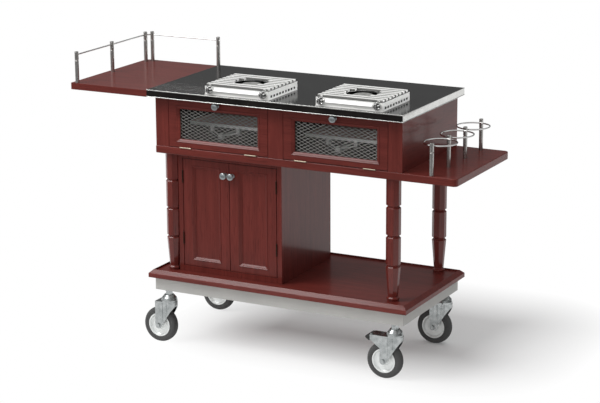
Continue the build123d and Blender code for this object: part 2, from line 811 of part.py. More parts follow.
front_pieces = [block(a, b, box_front, inside_front, board_top, worktop_bottom) for a, b in stiles]
rails = [(deck_floor, deck_floor + cupboard_kick), (board_bottom - cupboard_top_rail, board_bottom)]
for z0, z1 in rails:
    front_pieces.append(block(cupboard_inner_left, cupboard_inner_right, cupboard_front,
                              cupboard_front + panel_thickness, z0, z1))
save("front_frames", *front_pieces)
half_shelves = []
strips = []
for a, b in ((inside_left, divider_left), (divider_right, inside_right)):
    half_shelves.append(block(a, b, half_shelf_front, inside_back, half_shelf_bottom, half_shelf_top))
    strips.append(block(a, b, half_shelf_front - strip_thickness, half_shelf_front,
                        half_shelf_bottom - strip_over, half_shelf_top + strip_over))
save("half_shelves", *half_shelves)
save("half_shelf_strips", *strips)
save("gas_pipework", gas_pipework())

# Flaps, and the hinges of flaps and doors
hinge_fixed, hinge_moving = hinge_pair()
fixed_leaves = []
flap_spans = {"left": (stiles[0][1], stiles[2][0]), "right": (stiles[2][1], stiles[1][0])}
for name, (a, b) in flap_spans.items():
    left, right, low, high, width, height = flap_sizes(a, b)
    save(f"flap_frame_{name}", flap_frame(a, b))
    save(f"flap_mesh_{name}", flap_mesh(a, b))
    save(f"flap_knob_{name}", Pos((left + right) / 2, box_front, high - flap_top_rail / 2) * pull_knob())
    moving = []
    for x in (left + flap_hinge_inset, right - flap_hinge_inset):
        spot = Pos(x, box_front - hinge_radius, board_top + hinge_gap / 2) * Rot(0, -90, 0)
        fixed_leaves.append(spot * hinge_fixed)
        moving.append(spot * hinge_moving)
    save(f"flap_hinge_leaves_{name}", *moving)
for name, (a, b, sign) in doors.items():
    x = a - hinge_gap / 2 if name == "left" else b + hinge_gap / 2
    fixed = hinge_fixed if name == "left" else mirror(hinge_fixed, about=Plane.YZ)
    swing = hinge_moving if name == "left" else mirror(hinge_moving, about=Plane.YZ)
    moving = []
    for z in (door_low + door_hinge_bottom, door_high - door_hinge_top):
        spot = Pos(x, cupboard_front - hinge_radius, z)
        fixed_leaves.append(spot * fixed)
        moving.append(spot * swing)
    save(f"door_hinge_leaves_{name}", *moving)
save("fixed_hinge_leaves", *fixed_leaves)

# Worktop with seats for burners and the last gallery post, and its edge trim
row_x = left_end + gallery_end_inset
row_y = worktop_depth - gallery_back_inset
corner_y = row_y - gallery_corner
middle_y = (gallery_front_inset + corner_y) / 2
gallery_spots = [(row_x, gallery_front_inset), (row_x, middle_y), (row_x, corner_y)]
gallery_spots += [(row_x + gallery_corner, row_y), (gallery_worktop_x, row_y)]
right_burner = worktop_length - burner_end_inset
burner_x = {"left": right_burner - burner_pitch, "right": right_burner}
trim_inner = worktop_length - edge_trim
back_inner = worktop_depth - edge_trim
slab = block(0, trim_inner, edge_trim, back_inner, worktop_bottom, worktop_top)
slab -= post_hole(*gallery_spots[-1], worktop_top)
for x in burner_x.values():
    slab -= Pos(x, burner_front_inset, worktop_top) * burner_recess()
save("worktop_slab", slab)
trim_low = worktop_bottom - trim_drop
trim_front = block(0, worktop_length, 0, edge_trim, trim_low, worktop_top)
trim_back = block(0, worktop_length, back_inner, worktop_depth, trim_low, worktop_top)
trim_right = block(trim_inner, worktop_length, edge_trim, back_inner, trim_low, worktop_top)
save("worktop_edge_trim", trim_front, trim_back, trim_right)

# Left shelf on two brackets screwed to the box
shelf = block(left_end, 0, 0, worktop_depth, shelf_bottom, shelf_top)
shelf = fillet(shelf.edges().filter_by(Axis.Z).group_by(Axis.X)[0].sort_by(Axis.Y)[-1], left_shelf_back_corner)
shelf = fillet(shelf.edges().filter_by(Axis.Z).group_by(Axis.X)[0].sort_by(Axis.Y)[0], left_shelf_front_corner)
bracket_end = left_end + bracket_end_gap
shelf_screw_x = (bracket_end + screw_end, bracket_end + screw_end + screw_pitch)
bracket_under = shelf_bottom - bracket_thickness
bracket_face = box_left - bracket_thickness
pan_head = turned([(0, 0), (screw_head_radius, 0), (0.9 * screw_head_radius, 0.6 * screw_head_height),
                   (0.5 * screw_head_radius, screw_head_height), (0, screw_head_height)])
shank_end = bracket_thickness + screw_depth
screw = Rot(180, 0, 0) * pan_head + rod(screw_radius, (0, 0, -screw_head_height / 2), (0, 0, shank_end))
brackets = []
screws = []
for y in bracket_y:
    y0 = y - bracket_width / 2
    y1 = y + bracket_width / 2
    bracket = block(bracket_end, box_left, y0, y1, bracket_under, shelf_bottom)
    bracket += block(bracket_face, box_left, y0, y1, shelf_bottom - bracket_drop, shelf_bottom)
    for x in shelf_screw_x:
        bracket -= rod(screw_radius + running_gap, (x, y, bracket_under - 1), (x, y, shelf_bottom + 1))
        shelf -= rod(screw_radius + seat_gap, (x, y, shelf_bottom - 1), (x, y, shelf_bottom + screw_depth))
        screws.append(Pos(x, y, bracket_under) * screw)
    for z in wall_screw_z:
        bracket -= rod(screw_radius + running_gap, (bracket_face - 1, y, z), (box_left + 1, y, z))
        screws.append(Pos(bracket_face, y, z) * Rot(0, 90, 0) * screw)
    brackets.append(bracket)
for x, y in gallery_spots[:-1]:
    shelf -= post_hole(x, y, shelf_top)
save("left_shelf", shelf)
save("shelf_brackets", *brackets)
save("bracket_screws", *screws)

# Gallery round the left shelf
shelf_post = grooved_post(gallery_height + left_shelf_drop)
worktop_post = grooved_post(gallery_height)
rod_z = worktop_top + gallery_height - rod_drop
rod_ends = []
runs = ((gallery_spots[0], gallery_spots[2]), (gallery_spots[2], gallery_spots[3]),
        (gallery_spots[3], gallery_spots[4]))
for start, end in runs:
    share = (post_radius - rod_bite) / math.dist(start, end)
    bite_x = (end[0] - start[0]) * share
    bite_y = (end[1] - start[1]) * share
    rod_ends.append(((start[0] + bite_x, start[1] + bite_y, rod_z), (end[0] - bite_x, end[1] - bite_y, rod_z)))
posts = []
for x, y in gallery_spots:
    post = Pos(x, y, worktop_top) * worktop_post if x > 0 else Pos(x, y, shelf_top) * shelf_post
    for start, end in rod_ends:
        post -= rod(rod_radius + seat_gap, start, end)
    posts.append(post)
save("gallery_posts", *posts)
save("gallery_rods", *[rod(rod_radius, start, end) for start, end in rod_ends])

# Bottle rack
ring_z = board_top + rack_height - ring_drop
rack_post = grooved_post(rack_height)
rings = []
rack_posts = []
for low, high in zip(rack_y, rack_y[1:]):
    y = (low + high) / 2
    ring = Pos(rack_x, y, ring_z) * Torus(ring_radius, ring_wire)
    for sign in (-1, 1):
        tip = y + sign * (rack_pitch / 2 - post_radius + ring_stub_bite)
        ring += rod(ring_stub_radius, (rack_x, y + sign * ring_radius, ring_z), (rack_x, tip, ring_z))
    rings.append(ring)
for y in rack_y:
    post = Pos(rack_x, y, board_top) * rack_post
    for sign in (-1, 1):
        start = (rack_x, y + sign * (post_radius - ring_stub_bite), ring_z)
        post -= rod(ring_stub_radius + seat_gap, start, (rack_x, y + sign * 2 * post_radius, ring_z))
    rack_posts.append(post)
save("bottle_rack_posts", *rack_posts)
save("bottle_rings", *rings)

# Burners
bodies = []
heads = []
for name, x in burner_x.items():
    spot = Pos(x, burner_front_inset, worktop_top)
    bodies.append(spot * burner_body())
    heads.append(spot * Pos(0, burner_depth / 2, 0) * burner_head())
    save(f"pan_support_{name}", spot * pan_support())
    for side, sign in (("a", -1), ("b", 1)):
        save(f"burner_knob_{name}_{side}", spot * Pos(sign * knob_x, 0, knob_z) * burner_knob())
save("burner_bodies", *bodies)
save("burner_heads", *heads)
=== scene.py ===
"""Flambe trolley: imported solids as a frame, with turned and swept surfaces, finishes, light and camera."""
import json
import logging
import math
from dataclasses import dataclass, replace
from enum import Enum, StrEnum
from functools import cache
from typing import Sequence

import bmesh
import bpy
import numpy as np
from mathutils import Matrix, Vector

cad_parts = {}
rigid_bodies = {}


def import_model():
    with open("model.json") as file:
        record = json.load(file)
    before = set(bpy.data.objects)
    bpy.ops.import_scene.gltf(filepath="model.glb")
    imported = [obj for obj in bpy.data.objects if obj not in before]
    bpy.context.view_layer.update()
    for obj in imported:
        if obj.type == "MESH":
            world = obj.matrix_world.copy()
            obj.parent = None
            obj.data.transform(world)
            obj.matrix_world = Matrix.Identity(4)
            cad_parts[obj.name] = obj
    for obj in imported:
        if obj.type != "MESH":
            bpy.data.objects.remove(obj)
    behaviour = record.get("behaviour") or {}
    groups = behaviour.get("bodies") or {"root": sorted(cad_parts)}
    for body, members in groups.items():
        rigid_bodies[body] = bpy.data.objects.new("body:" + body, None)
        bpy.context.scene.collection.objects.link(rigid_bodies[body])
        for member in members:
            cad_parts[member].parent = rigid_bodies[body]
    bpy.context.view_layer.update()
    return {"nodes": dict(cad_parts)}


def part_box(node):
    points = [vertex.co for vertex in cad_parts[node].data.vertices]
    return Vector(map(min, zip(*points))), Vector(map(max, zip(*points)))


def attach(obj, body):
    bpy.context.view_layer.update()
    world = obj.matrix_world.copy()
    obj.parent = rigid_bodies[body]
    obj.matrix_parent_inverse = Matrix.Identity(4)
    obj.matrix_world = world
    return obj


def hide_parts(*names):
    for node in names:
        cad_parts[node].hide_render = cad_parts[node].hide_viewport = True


for leftover in list(bpy.data.objects):
    bpy.data.objects.remove(leftover)
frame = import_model()

LOG = logging.getLogger("trolley")
MM = 0.001
MERGE_DISTANCE = 2e-6
LEAST_EDGE = 1e-6
LEAST_RUN = 1e-9
RUN_SHARE = 0.45
LEAST_SHRINK = 0.2
WHITE = (1, 1, 1, 1)
EASING = (("merge", "WELD", {"merge_threshold": 1e-5}),
          ("flat faces", "DECIMATE", {"decimate_type": "DISSOLVE", "angle_limit": math.radians(0.5)}),
          ("eased edges", "BEVEL", {"segments": 2, "limit_method": "ANGLE", "angle_limit": math.radians(28)}),
          ("normals", "WEIGHTED_NORMAL", {"keep_sharp": True}))

Pair = tuple[float, float]
Triple = tuple[float, float, float]
Node, Socket, NodeTree = bpy.types.Node, bpy.types.NodeSocket, bpy.types.NodeTree
Sockets = bpy.types.bpy_prop_collection
Value = Socket | float


class Axis(Enum):
    """Direction of a grain, a brushing, a thickness or a part of a vector."""

    X = 0
    Y = 1
    Z = 2


class Dark(Enum):
    """Where a metal takes on painted shade, its dark colour standing in for shade."""

    NOWHERE = 0
    BELOW = 1
    ABOVE = 2
    FRONTS = 3
    HOLLOWS = 4


class Corner(Enum):
    """Castor corner, with whether it has a brake pedal."""

    FRONT_LEFT = ("fl", False)
    FRONT_RIGHT = ("fr", True)
    BACK_LEFT = ("bl", True)
    BACK_RIGHT = ("br", False)


class Side(StrEnum):
    """Left or right piece of a pair."""

    LEFT = "left"
    RIGHT = "right"


# Surfaces


@dataclass(frozen=True)
class Surface:
    """Points and four-sided faces of a surface, and how deep in a hollow each point lies, from 0 to 1."""

    points: np.ndarray
    quads: np.ndarray
    hollow: np.ndarray | None = None

    def moved(self, x: float, y: float, z: float) -> "Surface":
        """Return the surface shifted by x, y and z."""
        return replace(self, points=self.points + np.array([x, y, z]))

    def to_front(self) -> "Surface":
        """Return the surface with its axis turned from up to the front."""
        x, y, z = self.points.T
        return replace(self, points=np.stack([x, -z, y], axis=1))


def joined(surfaces: Sequence[Surface]) -> Surface:
    """Put several surfaces into one.

    Args:
        surfaces: the surfaces, in any order.

    Returns:
        One surface, each part's face numbers raised by the count of points before it.
    """
    counts = np.cumsum([0] + [len(s.points) for s in surfaces[:-1]])
    quads = [s.quads + start for s, start in zip(surfaces, counts)]
    hollow = None
    if any(s.hollow is not None for s in surfaces):
        hollow = np.concatenate([np.zeros(len(s.points)) if s.hollow is None else s.hollow for s in surfaces])
    return Surface(np.vstack([s.points for s in surfaces]), np.vstack(quads), hollow)


def grid(points: np.ndarray, close_rows: bool = False, close_cols: bool = False) -> Surface:
    """Skin a grid of points with quads: point (i, j) is joined to its next row and column.

    Args:
        points: array of rows x columns x 3.
        close_rows: join the last row to the first.
        close_cols: join the last column to the first.

    Returns:
        The skinned surface.
    """
    rows, cols = points.shape[:2]
    last_row, last_col = rows if close_rows else rows - 1, cols if close_cols else cols - 1
    i, j = np.meshgrid(np.arange(last_row), np.arange(last_col), indexing="ij")
    below, beside = (i + 1) % rows, (j + 1) % cols
    quads = np.stack([i * cols + j, below * cols + j, below * cols + beside, i * cols + beside], axis=-1)
    return Surface(points.reshape(-1, 3), quads.reshape(-1, 4))


def rounded(corners: Sequence[Pair], ease: float, steps: int = 5) -> np.ndarray:
    """Ease the corners of an outline.

    Each inner corner P becomes the curve (1-t)^2 A + 2t(1-t) P + t^2 B, where A and B lie on the runs before
    and after P, the ease away from it or a little under half the run.

    Args:
        corners: points of the outline.
        ease: distance from a corner at which its curve starts.
        steps: points on each curve.

    Returns:
        Array of n x 2, with both ends kept.
    """
    path = np.asarray(corners, float)
    here = path[1:-1]

    def toward(other: np.ndarray) -> np.ndarray:
        """Find where the curves start or end on the runs to the neighbours.

        Args:
            other: neighbour of each inner corner.

        Returns:
            One point for each inner corner.
        """
        run = other - here
        length = np.maximum(np.linalg.norm(run, axis=1, keepdims=True), LEAST_RUN)
        return here + run / length * np.minimum(ease, RUN_SHARE * length)

    start, end = toward(path[:-2])[:, None], toward(path[2:])[:, None]
    t = np.linspace(0, 1, steps)[None, :, None]
    curve = (1 - t) ** 2 * start + 2 * t * (1 - t) * here[:, None] + t ** 2 * end
    return np.vstack([path[:1], curve.reshape(-1, 2), path[-1:]])


def ring(corners: Sequence[Pair], ease: float, steps: int = 4) -> np.ndarray:
    """Return a closed outline with every corner eased."""
    return rounded([corners[-1], *corners, corners[0]], ease, steps)[1:-1]


def oblong(low: Pair, high: Pair, ease: float) -> np.ndarray:
    """Return the outline of a rectangle between two corners, its corners eased."""
    (x0, y0), (x1, y1) = low, high
    return ring([(x0, y0), (x1, y0), (x1, y1), (x0, y1)], ease)


def full_turn(sides: int) -> np.ndarray:
    """Return the angles of a full turn in even steps."""
    return np.linspace(0, 2 * math.pi, sides, endpoint=False)


def lathe(profile: np.ndarray, sides: int = 40, closed: bool = False,
          cut: np.ndarray | float = 0.0) -> Surface:
    """Turn a profile round Z: radius r and height h go to (c cos a, c sin a, h) for a full turn of a.

    The radius c is r times 1 - cut.

    Args:
        profile: array of n x 2, radius and height.
        sides: steps of the turn.
        closed: join the last profile point to the first, for a ring.
        cut: share of the radius that is taken off, the same all over or an array of n x sides.

    Returns:
        The turned surface.
    """
    angle = full_turn(sides)
    radius, height = profile[:, :1] * (1 - cut), profile[:, 1:]
    points = np.stack([radius * np.cos(angle), radius * np.sin(angle), height + 0 * angle], axis=-1)
    return grid(points, close_rows=closed, close_cols=True)


def mirrored_lathe(side: Sequence[Pair], ease: float, sides: int, steps: int = 4) -> Surface:
    """Turn a ring to the front from half of its profile: each (r, h) comes back as (r, -h).

    Args:
        side: half of the profile, radius and height.
        ease: distance from a corner at which its curve starts.
        sides: steps of the turn.
        steps: points on each curve.

    Returns:
        The closed ring.
    """
    profile = [*side, *((r, -h) for r, h in reversed(side))]
    return lathe(rounded(profile, ease, steps), sides, closed=True).to_front()


def carried(path: np.ndarray, mitres: np.ndarray, rise: Sequence[float], section: Sequence[Pair],
            closed: bool = False) -> Surface:
    """Carry a closed section along a flat path: section point (p, q) goes to path + p mitre + q rise.

    Args:
        path: array of n x 3 in one plane.
        mitres: sideways direction at each point of the path, as long as the mitre.
        rise: direction across the plane.
        section: points of the section, along the mitre and along the rise.
        closed: join the ends of the path.

    Returns:
        The bar, with its ends closed where the path is open.
    """
    out, up = np.asarray(section, float).T
    rows = path[:, None] + mitres[:, None] * out[:, None] + up[:, None] * np.asarray(rise, float)
    if not closed:
        middle = rows.mean(axis=1, keepdims=True).repeat(len(out), axis=1)
        rows = np.concatenate([middle[:1], rows, middle[-1:]])
    return grid(rows, close_rows=closed, close_cols=True)


def tube(path: np.ndarray, radius: float, normal: Triple, closed: bool = False, sides: int = 14) -> Surface:
    """Carry a circle along a flat path: its section is (r cos a, r sin a) for a full turn of a.

    Args:
        path: array of n x 3 in one plane.
        radius: radius r of the bar.
        normal: unit normal of the plane.
        closed: join the ends of the path.
        sides: points on the circle.

    Returns:
        The round bar.
    """
    run = np.roll(path, -1, 0) - np.roll(path, 1, 0) if closed else np.gradient(path, axis=0)
    run = run / np.linalg.norm(run, axis=1, keepdims=True)
    angle = full_turn(sides)
    circle = radius * np.stack([np.cos(angle), np.sin(angle)], axis=-1)
    return carried(path, np.cross(run, normal), normal, circle, closed)


def framing(low: Pair, high: Pair, section: Sequence[Pair], face: float) -> Surface:
    """Carry a section round a standing rectangle: (p, q) lies p outside its edge and q behind the face.

    Args:
        low: lowest x and z of the rectangle.
        high: highest x and z.
        section: closed section, outside offset and depth.
        face: y of the front face.

    Returns:
        The frame, with mitred corners.
    """
    signs = np.array([(-1, 0, -1), (1, 0, -1), (1, 0, 1), (-1, 0, 1)], float)
    path = np.where(signs < 0, (low[0], face, low[1]), (high[0], face, high[1]))
    return carried(path, signs, (0, 1, 0), section, closed=True)


def slab(outline: np.ndarray, start: float, end: float, ease: float, across: Axis = Axis.Y) -> Surface:
    """Thicken a star-shaped outline between two depths, its rims drawn in by the ease.

    The rows are the outline's middle, the outline shrunk by the ease at the start, the outline itself an ease
    further in, the same two again at the end, and the middle.

    Args:
        outline: array of n x 2 in the two other directions.
        start: depth of the first face.
        end: depth of the last face.
        ease: width of the eased rim.
        across: direction of the thickness.

    Returns:
        The closed slab.
    """
    middle = outline.mean(axis=0)
    reach = np.linalg.norm(outline - middle, axis=1, keepdims=True)
    small = middle + (outline - middle) * np.maximum(LEAST_SHRINK, 1 - ease / reach)
    centre = np.repeat(middle[None], len(outline), axis=0)
    flat = np.stack([centre, small, outline, outline, small, centre])
    inward = np.sign(end - start) * ease
    depth = np.array([start, start, start + inward, end - inward, end, end])
    points = np.insert(flat, across.value, np.broadcast_to(depth[:, None], flat.shape[:2]), axis=2)
    return grid(points, close_cols=True)


# Node trees and shared effects


class Tree:
    """Short-hand for adding and joining the nodes of one tree."""

    def __init__(self, tree: NodeTree) -> None:
        """Keep the tree and empty it."""
        self.tree = tree
        tree.nodes.clear()

    def add(self, kind: str, inputs: dict | None = None, **settings: object) -> Node:
        """Add a node.

        Args:
            kind: type of the node.
            inputs: value or source socket for each named or numbered input.
            settings: properties of the node.

        Returns:
            The new node.
        """
        node = self.tree.nodes.new(kind)
        for key, value in settings.items():
            setattr(node, key, value)
        for key, value in (inputs or {}).items():
            if isinstance(value, Socket):
                self.tree.links.new(value, node.inputs[key])
            else:
                node.inputs[key].default_value = value
        return node

    def effect(self, group: NodeTree, inputs: dict) -> Sockets:
        """Add a shared group with its inputs and return its outputs."""
        return self.add("ShaderNodeGroup", inputs, node_tree=group).outputs

    def place(self, scale: Sequence[float] = (1, 1, 1)) -> Socket:
        """Return object coordinates times a scale."""
        spot = self.add("ShaderNodeTexCoord").outputs["Object"]
        return self.add("ShaderNodeMapping", {"Vector": spot, "Scale": tuple(scale)}).outputs[0]

    def stretch(self, along: Axis, slow: float, fast: float) -> Socket:
        """Return object coordinates that change slowly along one axis and fast across it."""
        return self.place([slow if axis is along else fast for axis in Axis])

    def noise(self, spot: Socket, scale: Value, detail: float, rough: float = 0.5,
              bent: float = 0.0) -> Socket:
        """Return a noise of the given scale, detail, roughness and distortion."""
        given = {"Vector": spot, "Scale": scale, "Detail": detail, "Roughness": rough, "Distortion": bent}
        return self.add("ShaderNodeTexNoise", given).outputs[0]

    def blend(self, share: Socket, low: Triple | Socket, high: Triple | Socket) -> Socket:
        """Return a colour that goes from low to high with the share."""
        first, last = (end if isinstance(end, Socket) else (*end, 1) for end in (low, high))
        return self.add("ShaderNodeMix", {0: share, 6: first, 7: last}, data_type="RGBA").outputs[2]

    def math(self, kind: str, one: Value, other: Value = 0.0) -> Socket:
        """Return the result of a sum of the given kind on one or two values."""
        return self.add("ShaderNodeMath", {0: one, 1: other}, operation=kind).outputs[0]

    def part(self, vector: Socket, axis: Axis) -> Socket:
        """Return the part of a vector along an axis."""
        return self.add("ShaderNodeSeparateXYZ", {0: vector}).outputs[axis.name]

    def spread(self, value: Socket, start: float, end: float, low: float = 0.0,
               high: float = 1.0) -> Socket:
        """Return a value mapped from start..end to low..high, held at the ends."""
        ranged = {"Value": value, "From Min": start, "From Max": end, "To Min": low, "To Max": high}
        return self.add("ShaderNodeMapRange", ranged).outputs[0]

    def bump(self, height: Socket, strength: float, depth: float) -> Socket:
        """Return the normal of a height, as a bump of the given strength and depth in metres."""
        given = {"Strength": strength, "Distance": depth, "Height": height}
        return self.add("ShaderNodeBump", given).outputs[0]


def open_group(name: str, scales: Sequence[str] = ()) -> tuple[Tree, Sockets]:
    """Start a node group on a vector.

    Args:
        name: name of the group.
        scales: names of further inputs, all values.

    Returns:
        The tree and its input sockets.
    """
    group = bpy.data.node_groups.new(name, "ShaderNodeTree")
    group.interface.new_socket("Vector", in_out="INPUT", socket_type="NodeSocketVector")
    for label in scales:
        group.interface.new_socket(label, in_out="INPUT", socket_type="NodeSocketFloat")
    tree = Tree(group)
    return tree, tree.add("NodeGroupInput").outputs


def close_group(tree: Tree, outputs: dict[str, Socket]) -> NodeTree:
    """Give a node group its outputs.

    Args:
        tree: tree of the group.
        outputs: source socket of each output, all values.

    Returns:
        The finished group.
    """
    for label in outputs:
        tree.tree.interface.new_socket(label, in_out="OUTPUT", socket_type="NodeSocketFloat")
    tree.add("NodeGroupOutput", outputs)
    return tree.tree


@cache
def wood_grain() -> NodeTree:
    """Make the grain group: soft streaks and short pores from two noises on stretched coordinates.

    Returns:
        The group, with Streak and Pore.
    """
    tree, given = open_group("wood_grain")
    wide = tree.noise(given["Vector"], 1.0, detail=5.0, rough=0.6, bent=0.8)
    fine = tree.noise(given["Vector"], 7.0, detail=2.0)
    streak, pore = tree.spread(wide, 0.25, 0.75), tree.spread(fine, 0.56, 0.72)
    return close_group(tree, {"Streak": streak, "Pore": pore})


@cache
def mottling() -> NodeTree:
    """Make the mottling group: clouds from a broad noise, and a fine height from a small one.

    Returns:
        The group, with Cloud and Fine.
    """
    tree, given = open_group("mottling", ("Scale", "Fine Scale"))
    broad = tree.noise(given["Vector"], given["Scale"], detail=3.0, rough=0.55)
    fine = tree.noise(given["Vector"], given["Fine Scale"], detail=2.0)
    return close_group(tree, {"Cloud": tree.spread(broad, 0.3, 0.7), "Fine": fine})


@cache
def brushing() -> NodeTree:
    """Make the brushing group: fine lines from a noise on stretched coordinates.

    Returns:
        The group, with Line.
    """
    tree, given = open_group("brushing")
    lines = tree.noise(given["Vector"], 1.0, detail=3.0, rough=0.7)
    return close_group(tree, {"Line": tree.spread(lines, 0.3, 0.7)})


# Finishes


@dataclass(frozen=True)
class Lacquer:
    """Stained wood under a gloss lacquer, with its grain along one axis."""

    name: str
    along: Axis
    deep: Triple = (0.120, 0.0190, 0.0145)
    light: Triple = (0.190, 0.0320, 0.0245)
    roughness: float = 0.45
    coat: float = 0.38
    coat_roughness: float = 0.15
    coat_ior: float = 1.5
    specular: float = 0.12
    slow: float = 3.0
    fast: float = 55.0
    pore_tone: float = 0.8
    pore_bump: float = 0.04
    pore_depth: float = 0.0002

    def inputs(self, tree: Tree) -> dict[str, object]:
        """Return the shader's inputs: streaks between two stains, darker sunk pores, and the coat.

        Args:
            tree: tree of the material.

        Returns:
            Value or source socket for each named input.
        """
        grain = tree.effect(wood_grain(), {"Vector": tree.stretch(self.along, self.slow, self.fast)})
        stain = tree.blend(grain["Streak"], self.deep, self.light)
        pores = tree.blend(grain["Pore"], stain, tuple(self.pore_tone * c for c in self.deep))
        return {"Base Color": pores, "Roughness": self.roughness, "Specular IOR Level": self.specular,
                "Coat Weight": self.coat, "Coat Roughness": self.coat_roughness, "Coat IOR": self.coat_ior,
                "Normal": tree.bump(grain["Pore"], self.pore_bump, self.pore_depth)}


@dataclass(frozen=True)
class Metal:
    """Bare or plated metal, clouded, with brushed lines along an axis, and painted shade in places."""

    name: str
    base: Triple
    shade: Triple
    smooth: float
    rough: float
    along: Axis = Axis.X
    cloud_scale: float = 30.0
    slow: float = 6.0
    fast: float = 900.0
    bump: float = 0.03
    bump_depth: float = 0.0001
    metallic: float = 1.0
    dark: Triple = (0.02, 0.02, 0.02)
    dark_where: Dark = Dark.NOWHERE
    dark_level: float = 0.0
    fade_below: float = 0.001
    fade_above: float = 0.0002
    front_reach: Pair = (0.5, 0.9)
    hollow_reach: Pair = (0.3, 0.7)

    def darkness(self, tree: Tree) -> Socket:
        """Return the share of painted shade, the dark colour: under or over a height, on fronts and backs, or
        in hollows.

        Args:
            tree: tree of the material.

        Returns:
            Share from 0 to 1.
        """
        if self.dark_where is Dark.HOLLOWS:
            depth = tree.add("ShaderNodeAttribute", attribute_name="hollow").outputs["Fac"]
            return tree.spread(depth, *self.hollow_reach)
        coordinates = tree.add("ShaderNodeTexCoord").outputs
        if self.dark_where is Dark.FRONTS:
            facing = tree.math("ABSOLUTE", tree.part(coordinates["Normal"], Axis.Y))
            return tree.spread(facing, *self.front_reach)
        height, level = tree.part(coordinates["Object"], Axis.Z), self.dark_level
        if self.dark_where is Dark.BELOW:
            return tree.spread(height, level - self.fade_below, level, 1.0, 0.0)
        return tree.spread(height, level, level + self.fade_above)

    def inputs(self, tree: Tree) -> dict[str, object]:
        """Return the shader's inputs: a clouded colour with painted shade in places, and brushed lines.

        Args:
            tree: tree of the material.

        Returns:
            Value or source socket for each named input.
        """
        cloud = tree.effect(mottling(), {"Vector": tree.place(), "Scale": self.cloud_scale})
        line = tree.effect(brushing(), {"Vector": tree.stretch(self.along, self.slow, self.fast)})["Line"]
        tint = tree.blend(cloud["Cloud"], self.shade, self.base)
        # painted shade: the dark colour is blended in where shade would fall
        if self.dark_where is not Dark.NOWHERE:
            tint = tree.blend(self.darkness(tree), tint, self.dark)
        return {"Base Color": tint, "Metallic": self.metallic,
                "Roughness": tree.spread(line, 0.0, 1.0, self.smooth, self.rough),
                "Normal": tree.bump(line, self.bump, self.bump_depth)}


@dataclass(frozen=True)
class Coating:
    """Paint, plastic, rubber or polished laminate: a clouded colour with a fine skin."""

    name: str
    base: Triple
    shade: Triple
    smooth: float
    rough: float
    specular: float = 0.5
    cloud_scale: float = 12.0
    fine_scale: float = 600.0
    bump: float = 0.08
    bump_depth: float = 0.0002

    def inputs(self, tree: Tree) -> dict[str, object]:
        """Return the shader's inputs: a clouded colour and gloss, and the skin.

        Args:
            tree: tree of the material.

        Returns:
            Value or source socket for each named input.
        """
        spot = {"Vector": tree.place(), "Scale": self.cloud_scale, "Fine Scale": self.fine_scale}
        mottled = tree.effect(mottling(), spot)
        cloud = mottled["Cloud"]
        return {"Base Color": tree.blend(cloud, self.shade, self.base), "Specular IOR Level": self.specular,
                "Roughness": tree.spread(cloud, 0.0, 1.0, self.smooth, self.rough),
                "Normal": tree.bump(mottled["Fine"], self.bump, self.bump_depth)}


Finish = Lacquer | Metal | Coating


@cache
def material(finish: Finish) -> bpy.types.Material:
    """Make the material of a finish, once.

    Args:
        finish: the finish.

    Returns:
        Its material, with one Principled shader.
    """
    made = bpy.data.materials.new(finish.name)
    made.use_nodes = True
    tree = Tree(made.node_tree)
    shader = tree.add("ShaderNodeBsdfPrincipled", finish.inputs(tree))
    tree.add("ShaderNodeOutputMaterial", {"Surface": shader.outputs[0]})
    return made


INNER_GLOSS = {"roughness": 0.5, "coat": 0.2, "coat_roughness": 0.3}
# painted light: near-white, almost non-metal steel tones that make the shelf strips, pipes and burner bodies
# read as brightly lit
LIT_STEEL_TONES = ((0.97, 0.97, 0.95), (0.92, 0.92, 0.90))
DRAWN = {"along": Axis.Z, "cloud_scale": 40.0, "slow": 20.0, "fast": 400.0}

RED_ALONG = Lacquer("red_lacquer_along", Axis.X)
RED_ACROSS = Lacquer("red_lacquer_across", Axis.Y)
RED_UPRIGHT = Lacquer("red_lacquer_upright", Axis.Z)
# painted shade: a darker red for the centre divider inside the box
INNER_RED_SHADED = Lacquer("inner_red_painted_shade", Axis.X, (0.060, 0.016, 0.013), (0.095, 0.025, 0.020), **INNER_GLOSS)
# painted light: a much paler red that makes the half shelves inside the box read as lit
HALF_SHELF_RED_LIT = Lacquer("half_shelf_red_painted_light", Axis.X, (0.34, 0.090, 0.074), (0.44, 0.120, 0.100), **INNER_GLOSS)
RED_GLOSS = Lacquer("red_lacquer_gloss", Axis.X, coat=0.62)
RED_LEG = Lacquer("red_lacquer_leg", Axis.Z, coat=0.62, coat_roughness=0.07)
DARK_TOP = Coating("dark_worktop", (0.016, 0.0165, 0.016), (0.010, 0.0105, 0.010), 0.10, 0.16, specular=0.34,
                   cloud_scale=9.0, fine_scale=200.0, bump=0.004)
# painted shade: near-black sheet set in the box bays and burner bodies where shade falls
SHADE_LINING = Coating("painted_shade_lining", (0.012, 0.010, 0.010), (0.007, 0.006, 0.006), 0.6, 0.8, specular=0.2,
                 cloud_scale=40.0, fine_scale=900.0)
STEEL = Metal("trim_steel", (0.72, 0.72, 0.70), (0.62, 0.62, 0.60), 0.16, 0.30)
SHELF_STEEL = Metal("shelf_strip_steel", *LIT_STEEL_TONES, 0.50, 0.62, metallic=0.3)
PIPE_STEEL = Metal("pipe_steel", *LIT_STEEL_TONES, 0.40, 0.52, metallic=0.1)
# painted shade: pan support bars darker on the faces turned to the front and back
BAR_STEEL_SHADED_FRONTS = Metal("bar_steel_painted_shade", (0.97, 0.97, 0.95), (0.90, 0.90, 0.88), 0.28, 0.42, metallic=0.1,
                  dark=(0.24, 0.24, 0.23), dark_where=Dark.FRONTS)
